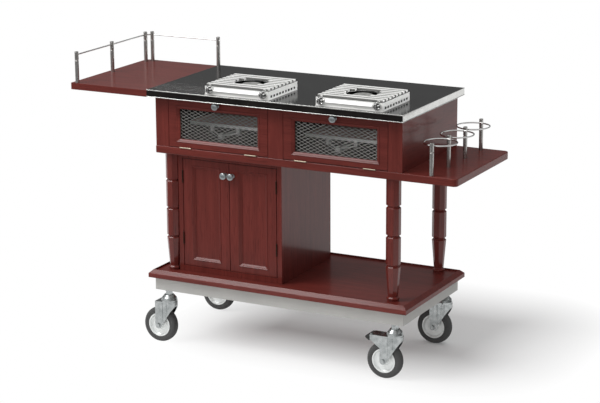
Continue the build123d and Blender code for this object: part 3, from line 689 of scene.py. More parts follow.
# painted shade: the burner body's top plate, above the given height, is dark under the pan supports
BODY_STEEL = Metal("burner_steel_shaded_top", *LIT_STEEL_TONES, 0.22, 0.36, metallic=0.05, dark=(0.05, 0.05, 0.05),
                   dark_where=Dark.ABOVE, dark_level=0.9294)
MESH_STEEL = Metal("mesh_steel", (0.50, 0.49, 0.47), (0.42, 0.41, 0.39), 0.28, 0.42)
CHROME = Metal("chrome", (0.80, 0.80, 0.79), (0.72, 0.72, 0.71), 0.05, 0.12, **DRAWN, bump=0.01)
POST_STEEL = Metal("post_steel", (0.48, 0.465, 0.45), (0.40, 0.39, 0.375), 0.16, 0.26, **DRAWN, metallic=0.8)
# painted shade: the gas knobs' flute hollows are darkened
KNOB_CHROME = Metal("knob_chrome", (0.86, 0.86, 0.85), (0.72, 0.72, 0.71), 0.08, 0.18, Axis.Y,
                    cloud_scale=60.0, dark_where=Dark.HOLLOWS)
SATIN = Metal("satin_knob", (0.44, 0.47, 0.48), (0.36, 0.39, 0.40), 0.24, 0.38, Axis.Y)
# painted shade: hinge leaves are darker below the given height, on the cupboard doors
LEAF_STEEL = Metal("hinge_leaf", (0.40, 0.34, 0.26), (0.30, 0.25, 0.19), 0.26, 0.4,
                   dark=(0.045, 0.028, 0.020), dark_where=Dark.BELOW, dark_level=0.68)
ZINC = Metal("zinc_plate", (0.52, 0.54, 0.54), (0.32, 0.34, 0.34), 0.18, 0.34, Axis.Z, cloud_scale=70.0)
CAST = Metal("cast_burner", (0.52, 0.52, 0.50), (0.28, 0.28, 0.27), 0.30, 0.48, cloud_scale=90.0,
             metallic=0.5)
FRAME_PAINT = Coating("frame_paint", (0.56, 0.555, 0.53), (0.50, 0.495, 0.475), 0.36, 0.46, specular=0.3,
                      cloud_scale=10.0, fine_scale=450.0, bump=0.10)
WHEEL_GREY = Metal("wheel_plate", (0.92, 0.94, 0.93), (0.82, 0.84, 0.83), 0.30, 0.42, Axis.Z,
                   cloud_scale=40.0, metallic=0.35)
TYRE = Coating("tyre_black", (0.082, 0.082, 0.082), (0.075, 0.075, 0.075), 0.83, 0.87, bump=0.03)
BLACK_STRIP = Coating("black_strip", (0.014, 0.012, 0.011), (0.007, 0.006, 0.006), 0.18, 0.28, specular=0.2,
                      cloud_scale=14.0)
BLACK_PAD = Coating("pedal_pad", (0.030, 0.030, 0.030), (0.020, 0.020, 0.020), 0.55, 0.7)


# Pieces


@dataclass(frozen=True)
class Room:
    """Box that a solid fills, in metres."""

    low: np.ndarray
    high: np.ndarray

    @property
    def middle(self) -> np.ndarray:
        """Return the middle of the box."""
        return (self.low + self.high) / 2

    @property
    def half(self) -> np.ndarray:
        """Return half the lengths of the box."""
        return (self.high - self.low) / 2


def room(node: str) -> Room:
    """Return the box that a solid fills."""
    low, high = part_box(node)
    return Room(np.array(low), np.array(high))


def shown(name: str, data: bpy.types.ID) -> bpy.types.Object:
    """Return a new object of the scene.

    Args:
        name: name of the object.
        data: its mesh, light or camera.

    Returns:
        The object, linked to the scene.
    """
    made = bpy.data.objects.new(name, data)
    bpy.context.scene.collection.objects.link(made)
    return made


def skin(name: str, surface: Surface, sharp: float) -> bpy.types.Mesh:
    """Make a mesh of a surface.

    Args:
        name: name of the mesh.
        surface: points and quads.
        sharp: angle in degrees over which an edge stays sharp.

    Returns:
        The mesh, its doubles merged, its faces outward and its shading smooth between sharp edges.
    """
    mesh = bpy.data.meshes.new(name)
    mesh.vertices.add(len(surface.points))
    mesh.vertices.foreach_set("co", surface.points.astype(np.float32).ravel())
    mesh.loops.add(surface.quads.size)
    mesh.loops.foreach_set("vertex_index", surface.quads.astype(np.int32).ravel())
    mesh.polygons.add(len(surface.quads))
    mesh.polygons.foreach_set("loop_start", np.arange(len(surface.quads), dtype=np.int32) * 4)
    mesh.update(calc_edges=True)
    if surface.hollow is not None:
        depth = mesh.attributes.new("hollow", "FLOAT", "POINT")
        depth.data.foreach_set("value", surface.hollow.astype(np.float32))
    shape = bmesh.new()
    shape.from_mesh(mesh)
    bmesh.ops.remove_doubles(shape, verts=shape.verts, dist=MERGE_DISTANCE)
    bmesh.ops.dissolve_degenerate(shape, edges=shape.edges, dist=LEAST_EDGE)
    bmesh.ops.recalc_face_normals(shape, faces=shape.faces)
    shape.to_mesh(mesh)
    shape.free()
    mesh.shade_smooth()
    mesh.set_sharp_from_angle(angle=math.radians(sharp))
    return mesh


def piece(name: str, surface: Surface, body: str, finish: Finish, stands_for: Sequence[str] = (),
          sharp: float = 38.0) -> None:
    """Add a new piece to the trolley.

    Args:
        name: name of the piece.
        surface: its surface, in place.
        body: body that it rides on.
        finish: its finish.
        stands_for: solids that it replaces.
        sharp: angle in degrees over which an edge stays sharp.
    """
    made = shown(name, skin(name, surface, sharp))
    made.data.materials.append(material(finish))
    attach(made, body)
    if stands_for:
        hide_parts(*stands_for)
    LOG.info("%s: %d faces on %s", name, len(made.data.polygons), body)


def dress(node: str, finish: Finish, ease: float = 0.0) -> None:
    """Give a solid its finish, and eased edges where asked.

    Args:
        node: name of the solid.
        finish: its finish.
        ease: width of the eased edges in millimetres, none at 0.
    """
    solid = frame["nodes"][node]
    for place in solid.material_slots:
        place.material = material(finish)
    if ease:
        for label, kind, settings in EASING:
            modifier = solid.modifiers.new(label, kind)
            for key, value in settings.items():
                setattr(modifier, key, value)
        solid.modifiers["eased edges"].width = ease * MM
    LOG.info("%s: dressed as %s", node, finish.name)


def moulding(name: str, node: str, body: str, finish: Finish, margins: Triple,
             section: Sequence[Pair]) -> None:
    """Run a moulding round the field of a door or flap: a proud bead, then two slopes down into the field.

    Args:
        name: name of the piece.
        node: solid of the door or flap.
        body: body that the moulding rides on.
        finish: its finish.
        margins: widths of the stiles, the bottom rail and the top rail in millimetres.
        section: closed section in millimetres, offset out of the field and depth behind the face.
    """
    box = room(node)
    stile, bottom, top = (margin * MM for margin in margins)
    low = (box.low[0] + stile, box.low[2] + bottom)
    high = (box.high[0] - stile, box.high[2] - top)
    shape = framing(low, high, np.array(section) * MM, box.low[1])
    piece(name, shape, body, finish, sharp=20)


@dataclass
class PullKnob:
    """Turned pull knob standing out to the front."""

    node: str
    body: str
    foot: float = 8.0
    neck: float = 5.0
    waist: Triple = (0.1, 0.22, 0.4)
    head: tuple[Pair, ...] = ((0.82, 0.54), (1.0, 0.7), (1.0, 0.82), (0.8, 0.95), (0.35, 1.0), (0.0, 1.0))
    ease: float = 2.5

    def build(self) -> None:
        """Turn the knob: a foot, a waist and a domed head, in the room of its solid.

        The waist's heights are shares of the solid's length, and the head's points shares of its radius and
        length.
        """
        box = room(self.node)
        radius, length = box.half[0], 2 * box.half[1]
        foot, neck = self.foot * MM, self.neck * MM
        foot_end, neck_start, neck_end = (share * length for share in self.waist)
        outline = [(0, 0), (foot, 0), (foot, foot_end), (neck, neck_start), (neck, neck_end)]
        outline += [(wide * radius, high * length) for wide, high in self.head]
        surface = lathe(rounded(outline, self.ease * MM)).to_front()
        surface = surface.moved(box.middle[0], box.high[1], box.middle[2])
        piece(f"{self.node}_turned", surface, self.body, SATIN, (self.node,), sharp=60)


@dataclass
class Castor:
    """Swivel castor: tyre, wheel centre, fork ribs and, on two of them, a pad on the brake pedal.

    The tyre's bead is given by offsets out of the rim and in from its side, and its tread by shares of the
    shoulder and of half the width. The bearing's ring is given by offsets out of the bearing and in from the
    hub's side, and the web's two slopes by distances from the hub or the rim and heights over the web.
    """

    corner: Corner
    bead: tuple[Pair, ...] = ((0.0, 1.0), (2.2, 0.2), (3.0, 0.0), (6.0, 0.0), (6.6, 0.7), (7.2, 0.0))
    tread: tuple[Pair, ...] = ((1, 1.0), (1 / 3, 0.8), (1 / 15, 0.47), (0, 0.13))
    tyre_ease: float = 1.8
    tyre_sides: int = 72
    shoulder: float = 9.0
    web: float = 6.0
    hub: float = 14.0
    bearing: float = 9.5
    bearing_ring: tuple[Pair, ...] = ((0.0, 0.0), (0.4, 1.0), (1.2, 1.0), (1.6, 0.0))
    hub_slope: tuple[Pair, Pair] = ((2.0, 2.0), (6.0, 0.0))
    rim_slope: tuple[Pair, Pair] = ((9.0, 0.0), (6.0, 2.0))
    rim_wall: float = 4.5
    bore: float = 5.05
    rim_step: float = 1.0
    wheel_ease: float = 1.2
    wheel_sides: int = 60
    cheek: float = 6.5
    rib: float = 2.6
    rib_feet: tuple[Pair, Pair] = ((17.0, 16.0), (34.0, 42.0))
    rib_head: float = 82.0
    rib_steps: int = 8
    pad_half: float = 15.4
    pad_ease: float = 1.0
    pad_rim: float = 0.6
    upper_pad: tuple[Pair, ...] = ((19.0, -0.2), (16.6, -0.6), (0.4, -11.8), (12.0, -13.4), (19.0, -8.2))
    lower_pad: tuple[Pair, ...] = ((0.8, -11.2), (-0.6, -17.0), (12.9, -26.7), (16.8, -23.5), (13.0, -12.4))

    def __post_init__(self) -> None:
        """Look up the corner's short name and the boxes of its tyre and wheel centre."""
        self.tag, self.braked = self.corner.value
        self.tyre_node, self.wheel_node = f"castor_tyre_{self.tag}", f"castor_wheel_{self.tag}"
        self.tyre_room, self.wheel_room = room(self.tyre_node), room(self.wheel_node)

    def tyre(self) -> None:
        """Turn the tyre: flat sides with a shallow line, round shoulders and a crowned tread."""
        _, half, outer = self.tyre_room.half
        rim, shoulder = self.wheel_room.half[2], self.shoulder * MM
        side = [(rim + out * MM, -half + deep * MM) for out, deep in self.bead]
        side += [(outer - drop * shoulder, -wide * half) for drop, wide in self.tread]
        surface = mirrored_lathe(side, self.tyre_ease * MM, self.tyre_sides).moved(*self.tyre_room.middle)
        piece(f"tyre_{self.tag}", surface, f"wheel_{self.tag}", TYRE, (self.tyre_node,))

    def wheel(self) -> None:
        """Turn the wheel centre: rim, dished web, hub and bearing ring on each side."""
        _, hub_half, rim = self.wheel_room.half
        rim_half = self.tyre_room.half[1] - self.rim_step * MM
        hub, web, bore, bearing = self.hub * MM, self.web * MM, self.bore * MM, self.bearing * MM
        side = [(bore, -hub_half)]
        side += [(bearing + out * MM, -hub_half + deep * MM) for out, deep in self.bearing_ring]
        side += [(hub, -hub_half)]
        side += [(hub + out * MM, -web - high * MM) for out, high in self.hub_slope]
        side += [(rim - inner * MM, -web - high * MM) for inner, high in self.rim_slope]
        side += [(rim - self.rim_wall * MM, -rim_half), (rim, -rim_half)]
        surface = mirrored_lathe(side, self.wheel_ease * MM, self.wheel_sides).moved(*self.wheel_room.middle)
        piece(f"wheel_centre_{self.tag}", surface, f"wheel_{self.tag}", WHEEL_GREY,
              (self.wheel_node,))

    def ribs(self) -> None:
        """Stand two pressed ribs, half sunk, on the outside of each fork cheek, up to the crown."""
        axle = self.tyre_room.middle
        half = self.tyre_room.half[1] + self.cheek * MM
        bars = []
        for sign in (-1, 1):
            for along, foot in self.rib_feet:
                x, y = axle[0] + along * MM, axle[1] + sign * half
                ends = (x, y, axle[2] + foot * MM), (x, y, axle[2] + self.rib_head * MM)
                bars.append(tube(np.linspace(*ends, self.rib_steps), self.rib * MM, (0, 1, 0)))
        piece(f"fork_ribs_{self.tag}", joined(bars), f"castor_{self.tag}", ZINC, sharp=60)

    def pad(self) -> None:
        """Cap the turned-down tip of the brake pedal with rubber, in an upper and a lower piece."""
        box = room(f"brake_pedal_{self.tag}")
        middle, half = box.middle[1], self.pad_half * MM
        pads = []
        for shape in (self.upper_pad, self.lower_pad):
            outline = np.array(shape) * MM + np.array([box.low[0], box.high[2]])
            outline = ring(outline, self.pad_ease * MM)
            pads.append(slab(outline, middle - half, middle + half, self.pad_rim * MM))
        piece(f"pedal_pad_{self.tag}", joined(pads), f"brake_{self.tag}", BLACK_PAD, sharp=50)

    def build(self) -> None:
        """Make the castor's pieces and dress its solids."""
        self.tyre()
        self.wheel()
        self.ribs()
        dress(f"castor_fork_{self.tag}", ZINC)
        if self.braked:
            dress(f"brake_pedal_{self.tag}", ZINC)
            self.pad()


@dataclass
class RollingBase:
    """Steel frame on four castors, and the deck with its raised edge."""

    paint_ease: float = 1.6
    deck_ease: float = 1.2

    def build(self) -> None:
        """Dress the frame and deck and build the castors."""
        dress("chassis_frame", FRAME_PAINT, self.paint_ease)
        dress("deck_board", RED_ALONG)
        dress("deck_edge_moulding", RED_ALONG, self.deck_ease)
        dress("castor_stems", ZINC)
        for corner in Corner:
            Castor(corner).build()


@dataclass
class Cupboard:
    """Two-door cupboard and the four octagonal legs beside it."""

    leg_ease: float = 0.8
    side_ease: float = 1.0
    frame_ease: float = 0.6
    door_ease: float = 0.8
    door_margins: Triple = (36.0, 24.0, 24.0)
    section: tuple[Pair, ...] = ((2.6, 0.2), (2.0, -1.2), (1.4, -1.4), (-1.2, 0.75), (-2.2, 0.95),
                                 (-7.4, 5.2), (-9.0, 5.4), (-9.0, 7.2))

    def build(self) -> None:
        """Dress the solids and add mouldings and knobs."""
        dress("legs", RED_LEG, self.leg_ease)
        dress("cupboard_sides", RED_UPRIGHT, self.side_ease)
        dress("front_frames", RED_UPRIGHT, self.frame_ease)
        dress("back_panels", RED_ALONG)
        for side in Side:
            door, body = f"cupboard_door_{side}", f"door_{side}"
            dress(door, RED_UPRIGHT, self.door_ease)
            dress(f"door_hinge_leaves_{side}", LEAF_STEEL)
            moulding(f"door_moulding_{side}", door, body, RED_UPRIGHT, self.door_margins, self.section)
            PullKnob(f"cupboard_knob_{side}", body).build()


@dataclass
class UpperBox:
    """Box under the worktop: board, sides, two flaps with mesh, half shelves and gas fittings."""

    panel: float = 18.0
    wood_ease: float = 0.8
    flap_margins: Triple = (32.0, 20.0, 31.0)
    section: tuple[Pair, ...] = ((3.0, 0.2), (2.2, -1.4), (1.6, -1.6), (-1.4, 0.9), (-2.4, 1.1),
                                 (-7.2, 5.1), (-8.0, 5.3), (-8.0, 8.2))
    bevel: float = 8.0
    columns: int = 13
    rows: int = 9
    strand: float = 1.0
    strand_thick: float = 0.4
    lean: float = 25.0
    border_half: float = 0.6
    border: float = 7.1
    strip_slope: float = 0.3
    strip_ease: float = 0.15
    lining: float = 0.5
    lining_gap: float = 2.0
    sheet_rim: float = 0.1

    def mesh(self, side: Side) -> None:
        """Lay the expanded mesh in a flat border: zigzag strands, each a flat bar leaning back to its top.

        Strand m runs along x at height (m + w) times half a row, where w is the triangle wave of the column
        count, turned over on every second strand so that neighbours meet at their bends.

        Args:
            side: flap that carries the mesh.
        """
        node = f"flap_mesh_{side}"
        box = room(node)
        margin = self.bevel * MM
        x0, _, z0 = box.low + margin
        x1, _, z1 = box.high - margin
        middle = box.middle[1]
        steps, strands = 2 * self.columns, 2 * self.rows
        along, order = np.arange(steps + 1), np.arange(strands)[:, None]
        wave = (along + order) % 2
        x = np.broadcast_to(x0 + (x1 - x0) * along / steps, wave.shape)
        z = z0 + (order + wave) * ((z1 - z0) / strands)
        lean = math.radians(self.lean)
        w, t = self.strand * MM / 2, self.strand_thick * MM / 2
        wide, thick = np.array([-w, w, w, -w]), np.array([-t, -t, t, t])
        rise = wide * math.cos(lean) - thick * math.sin(lean)
        back = wide * math.sin(lean) + thick * math.cos(lean)
        shape = wave.shape + rise.shape
        points = np.stack([np.broadcast_to(x[:, :, None], shape), np.broadcast_to(middle + back, shape),
                           z[:, :, None] + rise], axis=-1)
        strips = [grid(row, close_cols=True) for row in points]
        half, width = self.border_half * MM, self.border * MM
        border = framing((box.low[0] + half, box.low[2] + half), (box.high[0] - half, box.high[2] - half),
                         [(-width, -half), (0, -half), (0, half), (-width, half)], middle)
        piece(f"expanded_mesh_{side}", joined(strips + [border]), f"flap_{side}", MESH_STEEL,
              (node,), sharp=20)

    def bays(self) -> list[Pair]:
        """Find the two bays between the box's sides and the divider.

        Returns:
            Each bay's two ends in x.
        """
        sides, wall = room("upper_sides"), room("centre_divider")
        panel = self.panel * MM
        return [(sides.low[0] + panel, wall.low[0]), (wall.high[0], sides.high[0] - panel)]

    def shelf_strips(self) -> None:
        """Edge each half shelf with a bright strip whose face leans back from its foot to its top."""
        node = "half_shelf_strips"
        _, front, foot = room(node).low
        _, back, top = room(node).high
        flat = [(front, foot), (back, foot), (back, top), (back - self.strip_slope * MM, top)]
        section, gap = rounded(flat, self.strip_ease * MM), self.lining * MM
        strips = [slab(section, x0 + gap, x1 - gap, self.sheet_rim * MM, Axis.X) for x0, x1 in self.bays()]
        piece("shelf_strips", joined(strips), "trolley", SHELF_STEEL, (node,), sharp=20)

    def bay_lining(self) -> None:
        """Line each bay with thin dark sheet, on the board, up both sides and over the back, as painted shade
        inside the box.
        """
        wall = room("centre_divider")
        sheet, gap, rim = self.lining * MM, self.lining_gap * MM, self.sheet_rim * MM
        floor, top = wall.low[2], wall.high[2] - gap
        front, back = wall.low[1] + gap, wall.high[1] - sheet
        side = oblong((front, floor), (back, top), gap)
        sheets = []
        for x0, x1 in self.bays():
            sheets += [slab(oblong((x0, front), (x1, back), gap), floor, floor + sheet, rim, Axis.Z),
                       slab(side, x0, x0 + sheet, rim, Axis.X), slab(side, x1 - sheet, x1, rim, Axis.X),
                       slab(oblong((x0, floor), (x1, top), gap), back, wall.high[1], rim, Axis.Y)]
        piece("bay_lining", joined(sheets), "trolley", SHADE_LINING, sharp=40)

    def build(self) -> None:
        """Dress the solids and add dark linings as painted shade, then strips, mouldings, mesh and knobs."""
        dress("bottom_board", RED_ALONG)
        self.bay_lining()
        dress("upper_sides", RED_ACROSS, self.wood_ease)
        dress("centre_divider", INNER_RED_SHADED)
        dress("half_shelves", HALF_SHELF_RED_LIT)
        self.shelf_strips()
        dress("gas_pipework", PIPE_STEEL)
        dress("fixed_hinge_leaves", LEAF_STEEL)
        for side in Side:
            flap, body = f"flap_frame_{side}", f"flap_{side}"
            dress(flap, RED_ALONG, self.wood_ease)
            dress(f"flap_hinge_leaves_{side}", LEAF_STEEL)
            moulding(f"flap_moulding_{side}", flap, body, RED_ALONG, self.flap_margins, self.section)
            self.mesh(side)
            PullKnob(f"flap_knob_{side}", body).build()


@dataclass
class Worktop:
    """Dark worktop in a lipped steel edge with a black strip in front, and the wooden shelf beside it."""

    lip: float = 2.4
    low_lip: float = 1.6
    sink: float = 0.8
    thickness: float = 2.0
    lip_ease: float = 0.5
    strip_start: float = 0.2
    strip_face: float = 0.25
    strip_back: float = 0.2
    strip_rim: float = 0.1
    shelf_ease: float = 1.6
    bracket_ease: float = 0.8

    def edge(self) -> None:
        """Carry a lipped section along the front, right and back, and fill its front with a black strip."""
        node = "worktop_edge_trim"
        x0, y0, z0 = room(node).low
        x1, y1, z1 = room(node).high
        t, s, n, m = self.thickness * MM, self.sink * MM, self.lip * MM, self.low_lip * MM
        ease = self.lip_ease * MM
        below = [(-t, z0), (-ease, z0), (0, z0 + ease), (0, z0 + m), (-s, z0 + m + s)]
        above = [(-s, z1 - n - s), (0, z1 - n), (0, z1 - ease), (-ease, z1), (-t, z1)]
        path = np.array([(x0, y0, 0), (x1, y0, 0), (x1, y1, 0), (x0, y1, 0)])
        mitres = np.array([(0, -1, 0), (1, -1, 0), (1, 1, 0), (0, 1, 0)])
        shape = carried(path, mitres, (0, 0, 1), rounded(below + above, ease, steps=3))
        piece("worktop_edge", shape, "trolley", STEEL, (node,), sharp=30)
        outline = oblong((x0 + self.strip_start * MM, z0 + m + s), (x1 - n, z1 - n - s), ease)
        strip = slab(outline, y0 + self.strip_face * MM, y0 + s + self.strip_back * MM, self.strip_rim * MM)
        piece("worktop_edge_strip", strip, "trolley", BLACK_STRIP, sharp=30)

    def build(self) -> None:
        """Dress the slab, shelf and brackets and add the edge."""
        dress("worktop_slab", DARK_TOP)
        dress("left_shelf", RED_GLOSS, self.shelf_ease)
        dress("shelf_brackets", FRAME_PAINT, self.bracket_ease)
        dress("bracket_screws", LEAF_STEEL)
        self.edge()


@dataclass
class Rails:
    """Chrome gallery round the shelf and the bottle rack, both on grooved posts."""

    post: float = 7.0
    post_ease: float = 0.7
    post_sides: int = 32
    groove: float = 0.9
    groove_drop: float = 30.0
    corner: float = 18.0
    worktop_step: float = 3.0
    ring_wire: float = 2.5
    ring_sides: int = 72
    stub: float = 2.0
    stub_sink: float = 4.0
    stub_steps: int = 3

    def post_surface(self, low: float, high: float) -> Surface:
        """Turn a post with a ring groove below its eased top.

        Args:
            low: height of its foot.
            high: height of its top.

        Returns:
            The post, standing at the origin.
        """
        r, g = self.post * MM, self.groove * MM
        z = high - self.groove_drop * MM
        outline = [(0, low), (r, low), (r, z - 2 * g), (r - g, z - g), (r - g, z + g), (r, z + 2 * g),
                   (r, high - g), (r - g, high), (0, high)]
        return lathe(rounded(outline, self.post_ease * MM, steps=4), self.post_sides)

    def gallery(self) -> None:
        """Stand five posts round the shelf, the last one on the worktop, and keep the rods between them."""
        node = "gallery_posts"
        left, front, foot = room(node).low
        right, back, top = room(node).high
        r, corner = self.post * MM, self.corner * MM
        left, right, front, back = left + r, right - r, front + r, back - r
        side_back = back - corner
        spots = [(left, front), (left, (front + side_back) / 2), (left, side_back), (left + corner, back)]
        one = self.post_surface(foot, top)
        last = self.post_surface(foot + self.worktop_step * MM, top)
        posts = joined([one.moved(x, y, 0) for x, y in spots] + [last.moved(right, back, 0)])
        piece("gallery_posts_turned", posts, "trolley", POST_STEEL, (node,))
        dress("gallery_rods", CHROME)

    def rack(self) -> None:
        """Stand the rack's posts and bend a wire ring, with a stub to each side, between each two.

        A ring's path is (R cos a, R sin a) for a full turn of a.
        """
        box, rings = room("bottle_rack_posts"), room("bottle_rings")
        r, wire = self.post * MM, self.ring_wire * MM
        x, z = box.middle[0], rings.middle[2]
        radius = rings.half[0] - wire
        first, last = box.low[1] + r, box.high[1] - r
        count = round((last - first) / (2 * (radius + wire + r)))
        ys = np.linspace(first, last, count + 1)
        one = self.post_surface(box.low[2], box.high[2])
        posts = joined([one.moved(x, y, 0) for y in ys])
        piece("rack_posts_turned", posts, "trolley", POST_STEEL, ("bottle_rack_posts",))
        angle = full_turn(self.ring_sides)
        circle = np.stack([radius * np.cos(angle), radius * np.sin(angle), 0 * angle], axis=-1)
        bars = []
        for start, end in zip(ys, ys[1:]):
            middle = (start + end) / 2
            bars.append(tube(circle, wire, (0, 0, 1), closed=True).moved(x, middle, z))
            for sign, reach in ((-1, start + self.stub_sink * MM), (1, end - self.stub_sink * MM)):
                path = np.linspace((x, middle + sign * radius, z), (x, reach, z), self.stub_steps)
                bars.append(tube(path, self.stub * MM, (0, 0, 1)))
        piece("bottle_rings_bent", joined(bars), "trolley", CHROME, ("bottle_rings",),
              sharp=60)

    def build(self) -> None:
        """Make the gallery and the rack."""
        self.gallery()
        self.rack()


@dataclass
class Burners:
    """Two gas burners: sheet bodies, cast heads, lift-off pan supports and fluted knobs."""

    body_ease: float = 0.6
    bar_ease: float = 0.8
    shaft: float = 3.0
    skirt: float = 9.0
    collar: tuple[Pair, ...] = ((1.0, 0.0), (1.0, 4.0), (0.9, 6.0))
    crown: tuple[Pair, ...] = ((0.84, 1.0), (0.6, 0.0), (0.0, 0.0))
    dome: float = 2.0
    knob_ease: float = 1.2
    knob_sides: int = 96
    flutes: int = 6
    flute_depth: float = 0.28
    flute_start: float = 5.0
    grip_half: float = 2.1
    grip_share: float = 0.7
    grip_ease: float = 1.5
    grip_rim: float = 0.6
    liner_inset: float = 3.0
    liner_front: float = 14.0
    liner_height: float = 16.5
    liner_rim: float = 0.5

    def knob(self, tag: str) -> None:
        """Turn a fluted knob with a domed face and a grip bar, on the shaft of its solid.

        The collar's points are shares of the radius and heights over the skirt, and the crown's are shares
        and depths under the face. Between the skirt and the face, n flutes take the depth times
        (1 + cos(n a)) / 2 off the radius.

        Args:
            tag: side of the burner and end of its front.
        """
        node = f"burner_knob_{tag}"
        box = room(node)
        radius, length = box.half[0], 2 * box.half[1]
        shaft, skirt, face = self.shaft * MM, self.skirt * MM, length - self.dome * MM
        outline = [(0, 0), (shaft, 0), (shaft, skirt)]
        outline += [(wide * radius, skirt + high * MM) for wide, high in self.collar]
        outline += [(wide * radius, face - deep * MM) for wide, deep in self.crown]
        profile = rounded(outline, self.knob_ease * MM)
        height = profile[:, 1:]
        band = np.where((height >= skirt + self.flute_start * MM) & (height <= face), 1.0, 0.0)
        flutes = band * (1 + np.cos(self.flutes * full_turn(self.knob_sides))) / 2
        turned = lathe(profile, self.knob_sides, cut=self.flute_depth * flutes)
        # the flute depth is kept to place painted shade in the hollows
        turned = replace(turned, hollow=flutes.ravel())
        wide, tall = self.grip_half * MM, self.grip_share * radius
        grip = slab(oblong((-wide, -tall), (wide, tall), self.grip_ease * MM), face - self.dome * MM, length,
                    self.grip_rim * MM, Axis.Z)
        both = joined([turned, grip]).to_front().moved(box.middle[0], box.high[1], box.middle[2])
        piece(f"gas_knob_{tag}", both, f"knob_{tag}", KNOB_CHROME, (node,), sharp=45)

    def liner(self, side: Side) -> None:
        """Set a dark box inside a burner body, behind its vents and under its bowl, as painted shade.

        Args:
            side: burner that it lies in.
        """
        low, high = room(f"pan_support_{side}").low, room(f"pan_support_{side}").high
        inset = self.liner_inset * MM
        floor = room("burner_bodies").low[2] + inset / 2
        front = low[1] + self.liner_front * MM
        # painted shade: a dark box where shade falls inside the body
        outline = oblong((low[0] + inset, front), (high[0] - inset, high[1] - inset), inset)
        box = slab(outline, floor, floor + self.liner_height * MM, self.liner_rim * MM, Axis.Z)
        piece(f"burner_shade_box_{side}", box, "trolley", SHADE_LINING, sharp=40)

    def build(self) -> None:
        """Dress the burners and add dark liners as painted shade, and knobs."""
        dress("burner_bodies", BODY_STEEL, self.body_ease)
        dress("burner_heads", CAST)
        for side in Side:
            dress(f"pan_support_{side}", BAR_STEEL_SHADED_FRONTS, self.bar_ease)
            self.liner(side)
            for end in ("a", "b"):
                self.knob(f"{side}_{end}")


@dataclass(frozen=True)
class Lamp:
    """Rectangular light at a place, aimed at another, with its spread in degrees."""

    name: str
    size: Pair
    power: float
    place: Triple
    aim: Triple
    spread: float = 180.0

    def build(self) -> None:
        """Hang the light."""
        light = bpy.data.lights.new(self.name, "AREA")
        light.shape = "RECTANGLE"
        light.size, light.size_y = self.size
        light.energy = self.power
        light.spread = math.radians(self.spread)
        lamp = shown(self.name, light)
        lamp.location = self.place
        lamp.rotation_euler = (Vector(self.aim) - Vector(self.place)).to_track_quat("-Z", "Y").to_euler()


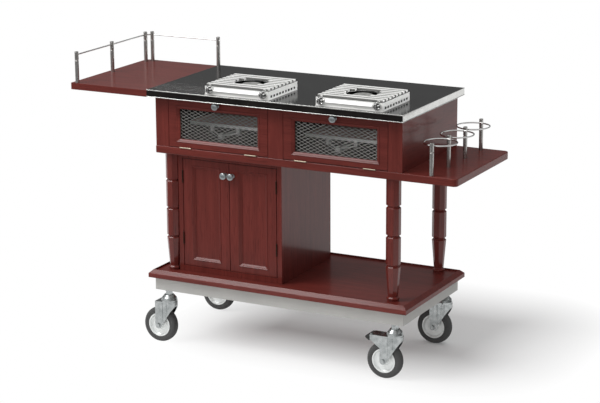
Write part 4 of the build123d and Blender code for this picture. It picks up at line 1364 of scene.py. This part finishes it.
@dataclass
class Studio:
    """Pale floor, soft box at the front left, narrow light on the burners' right sides, sky and camera."""

    floor_half: float = 60.0
    floor_pale: float = 0.94
    floor_front: float = 0.30
    front_reach: Pair = (-1.25, -0.75)
    shade_middle: Triple = (0.25, 0.30, 0.0)
    shade_half: Triple = (0.35, 0.20, 1.0)
    glow: Pair = (0.10, 1.0)
    glow_reach: Pair = (0.0, 0.42)
    sky_front_back: Pair = (0.88, 0.16)
    sky_depth: Pair = (-0.7, 0.5)
    sky_right: float = 0.42
    sky_width: Pair = (0.0, 0.8)
    zenith: float = 0.75
    zenith_reach: Pair = (0.3, 0.9)
    lamps: tuple[Lamp, ...] = (
        Lamp("soft_box", (1.7, 1.7), 66.0, (-1.68, -1.6, 3.4), (0.1, 0.0, 0.55)),
        Lamp("strip_light", (0.5, 0.2), 0.18, (2.375, -0.43, 1.5), (0.25, -0.13, 0.93), 5.0))
    camera_place: Triple = (3.09725, -5.8668, 2.2139)
    yaw: float = 0.480
    pitch: float = -0.253
    roll: float = -0.005
    lens: float = 119.5
    sensor: float = 36.0

    def floor(self) -> None:
        """Lay the floor: pale, with a white glow for seen and mirrored rays away from the shaded field.

        The glow's share grows with the distance to a rectangle, the length of max(|p - middle| - half, 0).
        The pale sweep ends in front of the trolley, where the floor is dark and mirrored rays see no glow.
        """
        h = self.floor_half
        mesh = bpy.data.meshes.new("studio_floor")
        mesh.from_pydata([(-h, -h, 0), (h, -h, 0), (h, h, 0), (-h, h, 0)], [], [(0, 1, 2, 3)])
        floor = shown("studio_floor", mesh)
        paint = bpy.data.materials.new("studio_floor")
        paint.use_nodes = True
        tree = Tree(paint.node_tree)
        place = tree.add("ShaderNodeTexCoord").outputs["Object"]
        sweep = tree.spread(tree.part(place, Axis.Y), *self.front_reach)
        pale = tree.blend(sweep, (self.floor_front,) * 3, (self.floor_pale,) * 3)
        plain = tree.add("ShaderNodeBsdfDiffuse", {"Color": pale})
        glow = tree.add("ShaderNodeEmission", {"Color": WHITE, "Strength": 1.0})
        step = place
        none = (0, 0, 0)
        for kind, other in (("SUBTRACT", self.shade_middle), ("ABSOLUTE", none),
                            ("SUBTRACT", self.shade_half), ("MAXIMUM", none)):
            step = tree.add("ShaderNodeVectorMath", {0: step, 1: other}, operation=kind).outputs[0]
        away = tree.add("ShaderNodeVectorMath", {0: step}, operation="LENGTH").outputs["Value"]
        share = tree.spread(away, *self.glow_reach, *self.glow)
        rays = tree.add("ShaderNodeLightPath").outputs
        mirrored = tree.math("MULTIPLY", rays["Is Glossy Ray"], sweep)
        seen = tree.math("MAXIMUM", rays["Is Camera Ray"], mirrored)
        seen = tree.math("MAXIMUM", seen, rays["Is Transmission Ray"])
        factor = tree.math("MULTIPLY", share, seen)
        both = tree.add("ShaderNodeMixShader", {0: factor, 1: plain.outputs[0], 2: glow.outputs[0]})
        tree.add("ShaderNodeOutputMaterial", {"Surface": both.outputs[0]})
        mesh.materials.append(paint)

    def surround(self) -> None:
        """Set the surround: bright in front, dim behind and to the right, even overhead."""
        world = bpy.data.worlds.new("studio")
        bpy.context.scene.world = world
        world.use_nodes = True
        tree = Tree(world.node_tree)
        way = tree.add("ShaderNodeTexCoord").outputs["Generated"]
        level = tree.spread(tree.part(way, Axis.Y), *self.sky_depth, *self.sky_front_back)
        right = tree.spread(tree.part(way, Axis.X), *self.sky_width, 1.0, self.sky_right)
        level = tree.math("MULTIPLY", level, right)
        above = tree.spread(tree.part(way, Axis.Z), *self.zenith_reach)
        rest = tree.math("SUBTRACT", 1.0, above)
        level, zenith = tree.math("MULTIPLY", level, rest), tree.math("MULTIPLY", above, self.zenith)
        tone = tree.math("ADD", level, zenith)
        sky = tree.add("ShaderNodeBackground", {"Color": WHITE, "Strength": tone})
        tree.add("ShaderNodeOutputWorld", {"Surface": sky.outputs[0]})

    def camera(self) -> None:
        """Place the camera from its position and its yaw, pitch and roll."""
        cp, sp = math.cos(self.pitch), math.sin(self.pitch)
        cy, sy = math.cos(self.yaw), math.sin(self.yaw)
        cr, sr = math.cos(self.roll), math.sin(self.roll)
        forward, right = Vector((-sy * cp, cy * cp, sp)), Vector((cy, sy, 0))
        above = right.cross(forward)
        turn = Matrix((cr * right + sr * above, -sr * right + cr * above, -forward)).transposed()
        data = bpy.data.cameras.new("camera")
        data.lens = self.lens
        data.sensor_width = self.sensor
        data.sensor_fit = "HORIZONTAL"
        camera = shown("camera", data)
        camera.matrix_world = Matrix.Translation(self.camera_place) @ turn.to_4x4()
        bpy.context.scene.camera = camera

    def build(self) -> None:
        """Set up floor, sky, lights and camera."""
        self.floor()
        self.surround()
        for lamp in self.lamps:
            lamp.build()
        self.camera()
        bpy.context.scene.view_settings.view_transform = "Standard"


def main() -> None:
    """Build every sub-assembly."""
    logging.basicConfig(level=logging.INFO, format="%(name)s: %(message)s")
    for part in (RollingBase(), Cupboard(), UpperBox(), Worktop(), Rails(), Burners(), Studio()):
        LOG.info("building %s", type(part).__name__)
        part.build()


if __name__ == "__main__":
    main()
